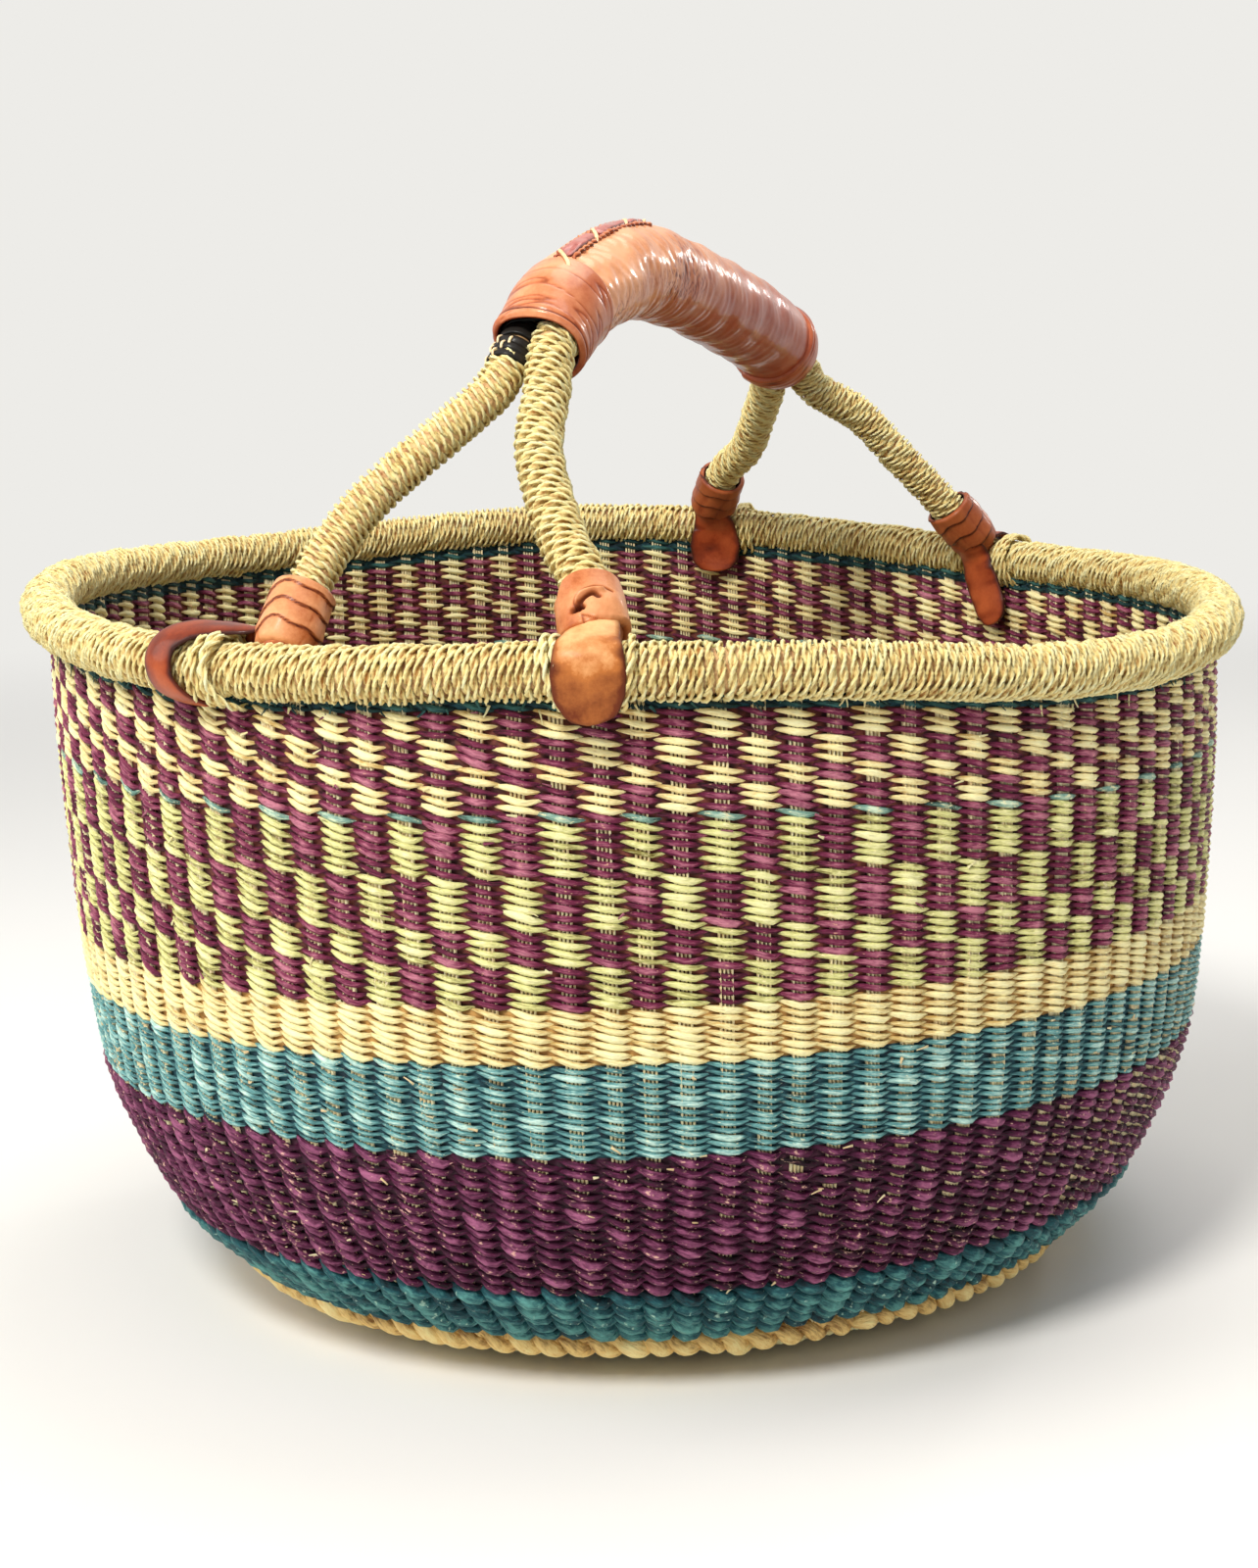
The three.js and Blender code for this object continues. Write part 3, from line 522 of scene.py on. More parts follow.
greenPart = "naturalTop", "greenTop", checks["green"], 0
palePart = "greenTop", "naturalChecksTop", checks["natural"], len(checks["green"])
greenRows = checkRows(*greenPart, 1)
addWeft("checksPlum", "plum", "purple_green_checks", ["weft_checks_green", "weft_checks_natural"],
        checkRows(*greenPart, 0) + checkRows(*palePart, 0), 6, 25)
addWeft("checksGreen", "green", "purple_green_checks", ["weft_checks_green"], greenRows[:-1], 6, 26)
addWeft("checksTealRow", "fadedTeal", "purple_green_checks", ["weft_checks_green"], greenRows[-1:], 6, 27)
addWeft("checksNatural", "natural", "purple_natural_checks", ["weft_checks_natural"],
        checkRows(*palePart, 1), 6, 28)
addWeft("weftTealTop", "shadowTeal", "dark_teal_straw", ["weft_teal_top"],
        pairs(bandRows("naturalChecksTop", "wallTop", 2), 1.4, 0.44), 6, 29)
print("side twined")

# foot: one row of thick strands
foot = {"half": 3.2, "deep": 1.7}
footRows = [(lengthAt("foot"), phase, foot["deep"], foot["half"]) for phase in (0, 1)]
addWeft("weftFoot", "foot", "natural_straw", ["weft_foot"], footRows, 14, 31, steps=8, pinch=0.68)

# base: the stakes thin out towards the middle, so the rows cross fewer of them
baseRings = [  # inner and outer radius, rows and columns
    (0.3, 12, 4, 8), (12, 27, 5, 14), (27, 54, 8, 28), (54, 94, 12, 56),
    (94, lengthAt("foot") - 3.5, 15, 112),
]
for number, (inner, outer, rows, count) in enumerate(baseRings):
    edges = np.linspace(inner, outer, rows + 1)
    middles, pitches = (edges[1:] + edges[:-1]) / 2, np.diff(edges)
    addWeft(f"weftBase{number}", "natural", "natural_straw", ["weft_base"],
            pairs((middles, pitches), 0.85, 0.45), 5, 40 + number, count=count, steps=3)
print("base twined")

# stakes: straws side by side in each column, from the base to the rim
stakes = {
    "straws": 4, "apart": 1.15, "half": 0.8, "broad": 0.56, "deep": 2.35, "steps": 32, "sides": 5,
    "start": 20, "above": 4, "fullRadius": 150, "sunk": 0.7,
}
column = np.repeat(np.arange(columns), stakes["straws"])[:, None] + 0.0
straw = np.tile(np.arange(stakes["straws"]) - 1.5, columns)[:, None]
climb = np.linspace(stakes["start"], lengthAt("wallTop") + stakes["above"], stakes["steps"])[None, :]
radius = np.interp(climb, wallLength, wallLine[:, 0])
squeeze = np.clip(radius / stakes["fullRadius"], 0.25, 1)
angle = stakeAngle(column, climb) + straw * stakes["apart"] * squeeze / radius
deep = 0.15 * ripple(8, straw * 3, column, climb / 9) + 0.28 * ripple(9, column * 1.7, climb / 5) - 0.08
deep = deep - stakes["sunk"] * np.clip((lengthAt("purpleMiddle") + 14 - climb) / 30, 0, 1)
points, out = wallPoint(climb + 0 * column, angle, deep)
half = stakes["half"] * squeeze + 0 * column
mesh = tubes(points, out, stakes["broad"] * half, stakes["deep"] * half, circle(stakes["sides"]))
# the stakes are painted fully lit and paler than the wefts: painted light where they show in the shaded gaps
shade = 0.5 + 0.2 * np.random.default_rng(3).normal(0, 1, len(points))
shade = np.repeat(shade, stakes["steps"] * stakes["sides"])
addMesh("stakes", *mesh, paints["bare"], "bare_straw", ["warp_stakes"],
        {"crest": 1.0 + 0 * shade, "shade": 0.3 + shade})

# painted shade: a dark, thin closed skirt in the middle of the weave from the base to the rim, seen in its
# gaps
shadeSkirt = {"half": 0.3, "rings": 8, "sides": 112, "start": 2, "above": 2}
gapShades = {  # the paint of each, and the place where it ends
    "Base": ("gapShadeBrown", "tealLowerBottom"), "TealLower": ("gapShadeTeal", "tealLowerTop"),
    "Purple": ("gapShadePurple", "purpleTop"), "TealUpper": ("gapShadeTeal", "tealUpperTop"),
    "Natural": ("gapShadeBrown", "naturalTop"), "Checks": ("gapShadePlum", "naturalChecksTop"),
    "Top": ("gapShadeTeal", "wallTop"),
}
edges = [shadeSkirt["start"]] + [lengthAt(place) for _, place in gapShades.values()]
edges[-1] += shadeSkirt["above"]
for (name, (finish, _)), low, high in zip(gapShades.items(), edges, edges[1:]):
    climb = np.linspace(low, high, shadeSkirt["rings"])[:, None]
    angle = np.arange(shadeSkirt["sides"])[None] * turn / shadeSkirt["sides"] + 0 * climb
    outer, inner = (
        wallPoint(climb + 0 * angle, angle, deep + 0 * angle)[0] for deep in (shadeSkirt["half"], -shadeSkirt["half"])
    )
    points = np.concatenate([outer, inner[::-1]])
    quads, i, j = gridFaces(1, 2 * shadeSkirt["rings"], shadeSkirt["sides"], True)
    addMesh(f"gapShade{name}", points.reshape(-1, 3), quads, [], np.stack([i, j], axis=-1) * 1.0, paints[finish],
            "bare_straw", ["warp_stakes"])
print("stakes set")


def rimPoint(angle, around, radius):
    # point on the tube round the rim's centreline, by the angle round the tube from the outside up
    out = rim["radius"] + radius * np.cos(around)
    height = rim["height"] + rimWave(angle) + radius * np.sin(around)
    return np.stack([out * np.cos(angle), out * np.sin(angle), height], axis=-1)


def cordTube(name, path, out, half, twist, stands, seed):
    # a cord of two plies: its outline rolls once for each twist of its length
    length = travelled(path)
    roll = turn * length / twist + 0.5 * ripple(seed, length / 30)
    girth = half * (1 + 0.07 * ripple(seed + 1, length / 14))
    mesh = tubes(path[None], out[None], girth[None], girth[None], twoPly, roll=roll[None])
    knots = int(length[-1] / 22) + 2
    tints = np.random.default_rng(seed).normal(0.5, 0.2, knots)
    tint = np.interp(length, np.linspace(0, length[-1], knots), tints)
    # painted shade in the groove between the two plies
    values = {"crest": np.tile(plyCrestLight, len(path)), "shade": np.repeat(tint, len(twoPly))}
    addMesh(name, *mesh, paints["cord"], "grass_cord", stands, values)


def addBundle(name, path, out, radius, sides, tint, stands, closed=False):
    # a plain round bundle of straws along a path, seen only in the gaps of what covers it
    mesh = tubes(path[None], out[None], radius, radius, circle(sides), closed=closed)
    flat = np.full(len(path) * sides, tint)
    addMesh(name, *mesh, paints["bare"], "bare_straw", stands, {"crest": flat, "shade": flat})


rimCord = {"turns": 500, "steps": 30, "half": 1.42, "twist": 12.0, "pieces": 2}
for part in range(rimCord["pieces"]):
    share = rimCord["turns"] // rimCord["pieces"]
    wound = part * share + np.arange(share * rimCord["steps"] + 1) / rimCord["steps"]
    angle = turn * wound / rimCord["turns"]
    around = turn * wound
    stray = 0.2 * ripple(51, wound * 0.4, angle * 60) * turn / rimCord["turns"]
    swell = rim["tubeRadius"] - rimCord["half"] + 0.25 * ringRipple(52, angle, 0, 60)
    swell = swell + 0.12 * ripple(53, wound * 2.3)
    path = rimPoint(angle + stray, around, swell)
    out = path - rimPoint(angle + stray, around, 0)
    cordTube(f"rimCord{part}", path, out, rimCord["half"], rimCord["twist"], ["rim_winding"], 53 + part)
rimBundle = {"steps": 400, "radius": 6.6, "sides": 14, "tint": 0.3}
path = rimPoint(np.arange(rimBundle["steps"]) * turn / rimBundle["steps"], 0, 0)
addBundle("rimBundle", path, path * [1, 1, 0], rimBundle["radius"], rimBundle["sides"], rimBundle["tint"],
          ["rim_core"], closed=True)
print("rim wound")


handle = {
    "turn": np.radians(67), "offset": (17.0, -9.0), "front": 114.0, "rear": 116.0,
    "endHeight": rim["height"] + 84.5, "crownRise": 27.0,
    "line": [
        (0, 0), (0.1, 0.48), (0.19, 0.75), (0.29, 0.94), (0.39, 0.99),
        (0.53, 0.87), (0.76, 0.56), (0.9, 0.31), (1, 0),
    ],
    "coreRadius": 5.3, "side": 5.9, "spread": 8.9, "bareLeg": 11.0,
    "collarLength": 21.0, "collarRadius": 10.1, "seat": np.radians(135), "reach": 11.9,
}
feet = {
    "front_left": {"angle": 238.9, "loop": 233.6, "end": 0, "side": 1, "lean": -0.7,
                   "runs": [(0.38, 0.25, 0.35), (0.73, 0.79, 0.7)], "radius": 7.1, "start": 5.0},
    "front_right": {"angle": 266.8, "loop": 262.6, "end": 0, "side": -1, "lean": -1.3,
                    "runs": [(0.48, 0.13, 0.46), (0.87, 0.72, 0.87)], "radius": 7.8, "start": -8.5},
    "rear_left": {"angle": 79.0, "loop": 75.6, "end": 1, "side": 1, "lean": -2.6,
                  "runs": [(0.5, 0.32, 0.52), (0.79, 0.64, 0.81)], "radius": 7.5, "start": -3.0},
    "rear_right": {"angle": 43.5, "loop": 39.4, "end": 1, "side": -1, "lean": 1.3,
                   "runs": [(0.5, 0.34, 0.4), (0.77, 0.69, 0.72)], "radius": 7.4, "start": -3.0},
}
forwards = np.array([np.cos(handle["turn"]), np.sin(handle["turn"]), 0.0])
sideways = np.array([-np.sin(handle["turn"]), np.cos(handle["turn"]), 0.0])


def gripSpot(share, rise):
    along = share * (handle["front"] + handle["rear"]) - handle["front"]
    height = handle["endHeight"] + rise * handle["crownRise"]
    return np.array([*handle["offset"], 0.0]) + along * forwards + np.array([0, 0, height])


gripLine = spline([gripSpot(*spot) for spot in handle["line"]], 400)
gripLength = measure(gripLine)


def footPlace(leg, back):
    # place on the collar's axis, a distance back from the foot; the collar leans round the rim
    tilt = np.arctan(rim["radius"] * np.radians(leg["lean"]) / handle["collarLength"])
    reach = handle["reach"] + handle["collarRadius"] * abs(np.sin(tilt)) + back
    angle = leg["angle"] + leg["lean"] * back / handle["collarLength"]
    return rimPoint(np.radians(angle), handle["seat"], reach)


def legLine(leg):
    # from inside the grip's end, out and down to the foot on the rim's inner top
    start = gripLine[-1 if leg["end"] else 0]
    finish = footPlace(leg, handle["collarLength"])
    reach = finish - start
    along, side = reach @ forwards, reach @ sideways
    first = leg["side"] * handle["spread"]
    near = start + leg["side"] * handle["side"] * sideways
    outside = start + first * sideways + np.sign(along) * handle["bareLeg"] * forwards
    outside = outside + np.array([0, 0, handle["bareLeg"] * reach[2] / abs(along)])
    runs = [
        start + a * along * forwards + (first + s * (side - first)) * sideways
        + np.array([0, 0, d * reach[2]])
        for a, s, d in leg["runs"]
    ]
    return spline([near, outside, *runs, finish, footPlace(leg, 0)], 300)


def legWhole(leg):
    # the leg's line with about 8 mm more at its start, along the bail inside the grip
    inside = gripLine[[14, 7]] if leg["end"] == 0 else gripLine[[-15, -8]]
    _, side, _ = framesOn(gripLine)
    beside = side[0 if leg["end"] == 0 else -1] * leg["side"] * handle["side"]
    line = legLine(leg)
    ahead = measure(np.vstack([inside + beside, line[:1]]))
    return evenly(np.vstack([inside + beside, line]), 320), ahead


def coil(line, start, end, turns, radius, steps, seed):
    # a helix on a line between two shares of it: centre + radius (side cos w + up sin w)
    wound = np.arange(int(turns * steps) + 1) / steps
    around = turn * wound
    pitch = (end - start) / turns
    share = start + (end - start) * wound / turns
    share = share + pitch * (0.2 * ripple(seed, wound * 0.5) + 0.2 * np.cos(around))
    centre, side, up, _ = sampleShare(line, share)
    out = ray(side, up, around)
    return centre + radius * out, out


winding = {"half": 1.4, "pitch": 2.6, "twist": 12.0, "steps": 32, "underCollar": 8}
for number, (name, leg) in enumerate(feet.items()):
    line, ahead = legWhole(leg)
    length = measure(line)
    start = (ahead + leg["start"]) / length
    end = 1 - (handle["collarLength"] - winding["underCollar"]) / length
    turns = int((end - start) * length / winding["pitch"])
    path, out = coil(line, start, end, turns, leg["radius"] - winding["half"], winding["steps"], 60 + number)
    cordTube(f"legCord_{name}", path, out, winding["half"], winding["twist"], [f"leg_winding_{name}"],
             70 + number)
bail = {"radius": handle["coreRadius"] + 0.2, "sides": 12, "tint": 0.35}
for name, ends in {"left": ("front_left", "rear_left"), "right": ("front_right", "rear_right")}.items():
    front, rear = (legLine(feet[end]) for end in ends)
    _, side, _ = framesOn(gripLine)
    held = gripLine + side * feet[ends[0]]["side"] * handle["side"]
    line = evenly(np.vstack([front[::-1][:-1], held, rear[1:]]), 260)
    _, side, _ = framesOn(line)
    addBundle(f"bailCore_{name}", line, side, bail["radius"], bail["sides"], bail["tint"],
              [f"bail_core_{name}"])
print("legs wound")


def leatherPaint(name, gloss, grain, polish, pale, middle, deep, cool=None):
    # creased and grainy, with painted shade in the creases; cool is mixed in where the wear and light value
    # is low: towards the grip's rear, and as painted shade on its underside and in the bores
    paint = Paint(name)
    cloud = paint.noise(paint.place(), 70.0, 3.0)
    pore = paint.noise(paint.place(), 900.0, 3.0, 0.65)
    scuff = paint.noise(paint.place((1, 0.35, 1)), 260.0, 4.0, 0.7)
    crease = paint.value("crease")
    wear = paint.value("wear")
    # the crease value darkens as painted shade; the wear value lightens, partly as painted light on upward
    # faces
    light = paint.span(0.9 * cloud + 0.35 * scuff + 0.25 * pore + 0.4 * wear - 0.75 * crease, 0.25, 1.25)
    low = paint.mix(paint.span(light, 0.0, 0.5), deep, middle)
    colour = paint.mix(paint.span(light, 0.45, 1.0), low, pale)
    if cool:
        colour = paint.mix(paint.span(wear + 0.4 * cloud, 1.0, 0.3) * 0.75, colour, cool)
    # painted shade: creases pulled towards a darker brown
    colour = paint.mix(paint.span(crease, 0.25, 1.0) * 0.8, colour, tuple(0.45 * c for c in deep))
    rough = paint.span(0.35 * scuff + 0.3 * crease + 0.3 * pore, 0.0, 0.9) * 0.3 + gloss
    height = pore * 0.5 * grain + scuff * 0.6 * grain - crease * 0.5
    extra = {"Coat_Weight": polish, "Coat_Roughness": 0.13, "Specular_IOR_Level": 0.22}
    return paint.finish(colour, rough, height, **extra)


leathers = {  # material, roughness, grain and polish, then the pale, middle, deep and cool tones
    "glossy": ("glossy_leather", 0.26, 0.5, 0.42,
               (0.97, 0.68, 0.48), (0.74, 0.39, 0.20), (0.28, 0.08, 0.01), (0.66, 0.27, 0.17)),
    "tan": ("tan_leather", 0.44, 1.2, 0.05, (0.99, 0.79, 0.55), (0.74, 0.44, 0.20), (0.42, 0.17, 0.03)),
    "collar": ("collar_leather", 0.38, 1.2, 0.12, (0.95, 0.69, 0.48), (0.72, 0.39, 0.20), (0.40, 0.14, 0.04)),
    "rust": ("rust_leather", 0.34, 1.2, 0.15, (0.72, 0.40, 0.22), (0.54, 0.24, 0.11), (0.28, 0.09, 0.03)),
    "strap": ("red_brown_leather", 0.32, 1.2, 0.2, (0.72, 0.35, 0.18), (0.52, 0.2, 0.08), (0.26, 0.07, 0.02)),
    "lacing": ("dark_red_leather", 0.22, 0.6, 0.5, (0.86, 0.52, 0.46), (0.64, 0.28, 0.23), (0.36, 0.1, 0.08)),
    "black": ("black_leather", 0.4, 1.0, 0.1, (0.16, 0.14, 0.12), (0.08, 0.07, 0.06), (0.02, 0.02, 0.02)),
    "edge": ("raw_edge", 0.5, 1.0, 0.0, (1.0, 0.90, 0.72), (0.96, 0.78, 0.58), (0.70, 0.46, 0.26)),
}
for key, (name, gloss, grain, polish, *tones) in leathers.items():
    paints[key] = leatherPaint(name, gloss, grain, polish, *(tone(*colour) for colour in tones))


def addSleeve(name, finish, slot, stands, line, run, outer, bore, steps, sides):
    # rings of radius outer(distance, angle) out along the line, then of the bore back; its start and end may
    # differ round it; lips rounded as a quarter circle: share of the thickness = sqrt(1 - (1 - d / t) ^ 2)
    around = np.arange(sides) * turn / sides + np.zeros((steps, 1))
    begin, end = (value(around) if callable(value) else value + 0 * around for value in run)
    at = begin + (end - begin) * np.linspace(0, 1, steps)[:, None]
    centre, side, up, _ = sample(line, at)
    outward = ray(side, up, around)
    radius, crease, wear = outer(at, around)
    edge = np.clip(np.minimum(at - begin, end - at) / 1.3, 0, 1)
    lip = np.sqrt(1 - (1 - edge) ** 2)
    hollow = bore(at, around) if callable(bore) else bore + 0 * radius
    radius = hollow + (radius - hollow) * (0.35 + 0.65 * lip)
    skin, inside = (centre + outward * reach[..., None] for reach in (radius, hollow))
    points = np.concatenate([skin, inside[::-1]])
    quads, i, j = gridFaces(1, 2 * steps, sides, True)
    middle = at.mean(axis=1)
    cornerUv = np.stack([np.concatenate([middle, middle[::-1], middle[:1]])[i], (j + 0.0) / sides], axis=-1)
    # painted shade inside the bore: its crease value raised and its wear value zero, so it is darker
    crease = np.concatenate([crease, 0 * crease + 0.5])
    wear = np.concatenate([wear, 0 * wear])
    addMesh(name, points.reshape(-1, 3), quads, [], cornerUv, paints[finish], slot, stands,
            {"crease": crease, "wear": wear})


def addStrap(name, finish, slot, stands, path, out, half, thick, seed, sides=28, crown=0.0, lengthRamp=0.0):
    # flat section of a superellipse carried along a path: x = cos^0.5 thick, y = sin^0.8 half width,
    # with its sides bent down by crown y^2
    cos, sin = circle(sides).T
    y = np.sign(sin) * np.abs(sin) ** 0.8
    outline = np.stack([np.sign(cos) * np.abs(cos) ** 0.5, y], axis=1)
    half, thick, crown = (np.broadcast_to(value, len(path)) for value in (half, thick, crown))
    mesh = tubes(path[None], out[None], half[None], thick[None], outline)
    step = np.arange(len(path))[:, None]
    outward = unit(out)[:, None]
    points = mesh[0].reshape(len(path), sides, 3) - outward * (crown[:, None] * y**2)[..., None]
    points = points + outward * (0.22 * ripple(seed, step * 0.12, y[None] * 2.0))[..., None]
    folds = np.clip(ripple(seed + 1, step * 0.3, y[None] * 3), 0, 1)
    # painted shade towards the strap's edges and in its folds
    crease = np.abs(y[None]) ** 6 * 0.8 + 0.25 * folds
    wear = 0.5 + 0.3 * ripple(seed + 2, step * 0.06, y[None])
    # paler at the start of the path and darker towards its end, by the ramp
    wear = wear + lengthRamp * np.linspace(1, -1, len(path))[:, None]
    addMesh(name, points.reshape(-1, 3), *mesh[1:], paints[finish], slot, stands,
            {"crease": crease, "wear": wear})


def creases(seed, at, around, fine, turnFine, sharp):
    # narrow valleys where a rippled field crosses zero: exp(-(r / sharp)^2)
    return bump(ripple(seed, at * fine, np.cos(around) * turnFine, np.sin(around) * turnFine), 0, sharp)


grip = {
    "start": 30.3, "end": gripLength - 11.3, "bore": 13.8, "steps": 280, "sides": 130,
    "shares": [0, 0.12, 0.35, 0.6, 0.85, 1], "radii": [15.4, 15.6, 15.9, 15.6, 16.2, 15.9],
}


def gripBody(at):
    # share of the way along the grip, and its radius there before pillows and creases
    share = (at - grip["start"]) / (grip["end"] - grip["start"])
    return share, np.interp(share, grip["shares"], grip["radii"])


def gripSkin(at, around):
    # radius = swell along the grip + soft pillows + ribs across it - short creases in patches
    share, body = gripBody(at)
    shift = at + 1.6 * np.cos(around - 1.9)
    pillow = 0.3 * ripple(103, shift * 0.26, np.cos(around) * 2.2, np.sin(around) * 2.2)
    ribs = 0.17 * ripple(101, shift * 0.6, np.cos(around) * 6, np.sin(around) * 6, waves=12)
    grainy = 0.03 * ripple(105, shift * 1.5, np.cos(around) * 17, np.sin(around) * 17, waves=12)
    ribs = ribs * (1 - 0.65 * np.clip((share - 0.4) / 0.3, 0, 1))
    patch = np.clip(0.2 + 0.8 * ripple(104, at * 0.12, np.cos(around) * 3, np.sin(around) * 3), 0.0, 1)
    fine = creases(102, shift * 1.2, around, 1.0, 8.0, 0.3) * patch * np.clip((0.55 - share) * 5, 0.06, 1)
    # painted light: the grip paler on top and darker underneath, over a tone that pales towards the front
    wear = 0.5 + 0.55 * np.clip((0.42 - share) * 2.4, -0.9, 0.9) + 0.45 * np.sin(around)
    return body + pillow + ribs + grainy - 0.14 * fine, 0.75 * fine, wear


def pressed(at, around):
    # the open end is pressed down on the bails: 3 sin^2 exp(-(at / 11)^2) above them
    return 3.0 * np.clip(np.sin(around), 0, 1) ** 2 * bump(at, 0, 11)


lip = {"start": 3.6, "slant": 2.8, "turned": 0.3}


def frontBand(at, around):
    # a double lip at the open end, then a smooth band that laps over the sleeve
    fromLip = at - lip["start"] + lip["slant"] * np.sin(around - lip["turned"])
    ridges = 0.45 * bump(fromLip, 1.4, 0.9) + 0.3 * bump(fromLip, 4.2, 0.8)
    groove = bump(fromLip - 2.8, 0.4 * np.sin(2 * around), 0.45)
    fold = creases(111, at, around, 0.5, 1.6, 0.14)
    body = 15.1 + 0.055 * (at - 4) + 0.3 * ripple(112, at * 0.16, np.cos(around), np.sin(around))
    droop = 0.9 * np.clip(-np.sin(around), 0, 1) ** 3 * bump(at, 12, 7)
    radius = body + ridges - 0.45 * groove - 0.25 * fold + droop - pressed(at, around)
    # painted shade in the groove and folds; painted light: the band paler on top and darker underneath
    return radius, 0.9 * groove + 0.45 * fold, 0.35 + 0.3 * np.sin(around)


def rearBand(at, around):
    # bulges, then closes in round the legs with a lapped edge
    share = (at - grip["end"] + 4) / 15
    body = np.interp(share, [0, 0.35, 0.7, 1], [16.5, 16.9, 16.0, 14.4])
    body = body + 0.25 * ripple(114, at * 0.3, np.cos(around) * 1.5, np.sin(around) * 1.5)
    lap = 1 / (1 + np.exp(-(around - 1.2 - 0.25 * np.sin(at)) * 12))
    fold = creases(115, at, around, 0.9, 2.2, 0.2)
    return body + 0.7 * lap * (around < 5.4) - 0.35 * fold, 0.6 * fold, 0.2 + 0 * at


addSleeve("gripSleeve", "glossy", "glossy_leather", ["grip_leather"], gripLine,
          (grip["start"] - 2, grip["end"] + 2), gripSkin, grip["bore"], grip["steps"], grip["sides"])
addSleeve("gripFrontBand", "glossy", "glossy_leather", ["grip_band_front"], gripLine,
          (lambda around: lip["start"] - lip["slant"] * np.sin(around - lip["turned"]), 29.8),
          frontBand, lambda at, around: 13.6 - pressed(at, around), 60, 110)
addSleeve("gripRearBand", "glossy", "glossy_leather", ["grip_band_rear"], gripLine,
          (grip["end"] - 2.5, gripLength), rearBand,
          lambda at, around: np.interp(at, [grip["end"] + 5, gripLength], [14.1, 12.2]), 40, 90)

# packing between the bails and the leather, and the lashing at each end
packing = {"radius": 13.3, "bore": 12.1, "inset": 13.3}
addSleeve("gripPacking", "bare", "bare_straw", ["grip_packing"], gripLine,
          (packing["inset"], gripLength - packing["inset"]),
          lambda at, around: (packing["radius"] + 0 * at, 0.4 + 0 * at, 0.5 + 0 * at),
          packing["bore"], 30, 40)


def stadium(line, at, around, spread, radius):
    # two half circles set a spread apart on either side of the line
    centre, side, up, _ = sample(line, at)
    cos, sin = np.cos(around)[:, None], np.sin(around)[:, None]
    point = centre + side * (np.tanh(6 * cos) * spread + radius * cos) + up * radius * sin
    return point, side * cos + up * sin


lashing = {"half": 1.9, "thick": 0.8, "turns": 4, "inset": 7.5, "pitch": 2.4, "radius": 6.9}
for end, begin, way in (("front", 0.0, 1), ("rear", gripLength, -1)):
    around = np.linspace(0, lashing["turns"] * turn, 200)
    at = begin + way * (lashing["inset"] + around / turn * lashing["pitch"])
    path, out = stadium(gripLine, at, around, handle["side"], lashing["radius"])
    addStrap(f"gripLashing_{end}", "black", "black_leather", [f"grip_lashing_{end}"], path, out,
             lashing["half"], lashing["thick"], 121, sides=12)
legLashing = {"half": 1.5, "thick": 0.75, "turns": 5.6, "start": 1.0, "pitch": 2.6, "radius": 6.1}
line, ahead = legWhole(feet["front_left"])
around = np.linspace(0, legLashing["turns"] * turn, 200)
centre, side, up, _ = sample(line, legLashing["start"] + around / turn * legLashing["pitch"])
out = ray(side, up, around)
addStrap("legLashing_front_left", "black", "black_leather", ["grip_lashing_front"],
         centre + out * legLashing["radius"], out, legLashing["half"], legLashing["thick"], 122, sides=12)
stitches = {"radius": 7.0, "reach": 1.5, "wide": 0.45, "deep": 0.35}
spots = np.array([  # distance from the grip's end and angle round the leg of each stitch
    (1.0, 1.9), (3.6, 1.5), (1.4, 2.5), (4.2, 2.2), (1.6, 1.2),
    (6.4, 1.8), (6.6, 2.6), (4.0, 2.9), (1.2, 3.2),
])
centre, side, up, tangent = sample(line, spots[:, 0] + ahead)
out = ray(side, up, spots[:, 1])
t = np.linspace(-1, 1, 7)[None, :, None]
path = (centre + out * stitches["radius"])[:, None] + tangent[:, None] * t * stitches["reach"]
path = path + out[:, None] * (0.35 - 0.9 * t**2)
mesh = tubes(path, out[:, None] + 0 * path, stitches["wide"], stitches["deep"], circle(6))
addMesh("legStitches_front_left", *mesh, paints["edge"], "black_leather", ["grip_lashing_front"],
        {"crease": np.zeros(len(mesh[0])), "wear": np.ones(len(mesh[0]))})

# lacing: a dark red strip under thin pale thongs, just on the viewer's side of the grip's top
lacing = {
    "start": 30.8, "length": 61, "tilt": np.radians(98), "half": 2.6, "slant": -5.5,
    "windows": [(0, 22, 1), (24, 45, 1), (48, 60, 0.7)],  # start, end and share of the width
    "thongs": [(-0.9, 4.4), (23.0, 3.3), (46.5, 3.1), (61.5, 2.4)],  # start and half length round the grip
}


def onGrip(at, angle, lift):
    centre, side, up, _ = sample(gripLine, at)
    outward = ray(side, up, angle)
    return centre + outward * (gripBody(at)[1] + lift)[..., None], outward


for number, (begin, finish, share) in enumerate(lacing["windows"]):
    at = lacing["start"] + np.linspace(begin, finish, 70)
    edge = np.minimum(at - at[0], at[-1] - at)
    path, out = onGrip(at, lacing["tilt"] + 0 * at, 0.4 + 0.5 * np.tanh(edge / 2))
    half = lacing["half"] * (0.75 + 0.25 * np.tanh(edge / 1.5)) * share
    addStrap(f"gripLacing{number}", "lacing", "dark_red_leather", ["grip_lacing"], path, out, half, 0.55,
             131 + number, crown=0.3)
for number, (begin, reach) in enumerate(lacing["thongs"]):
    t = np.linspace(-1, 1, 40)
    at = lacing["start"] + begin + lacing["slant"] * t
    path, out = onGrip(at, lacing["tilt"] + t * reach / 15.6, 1.15 - 1.9 * np.abs(t) ** 6)
    addStrap(f"gripThong{number}", "edge", "dark_red_leather", ["grip_lacing"], path, out, 0.7, 0.45,
             141 + number, sides=12)
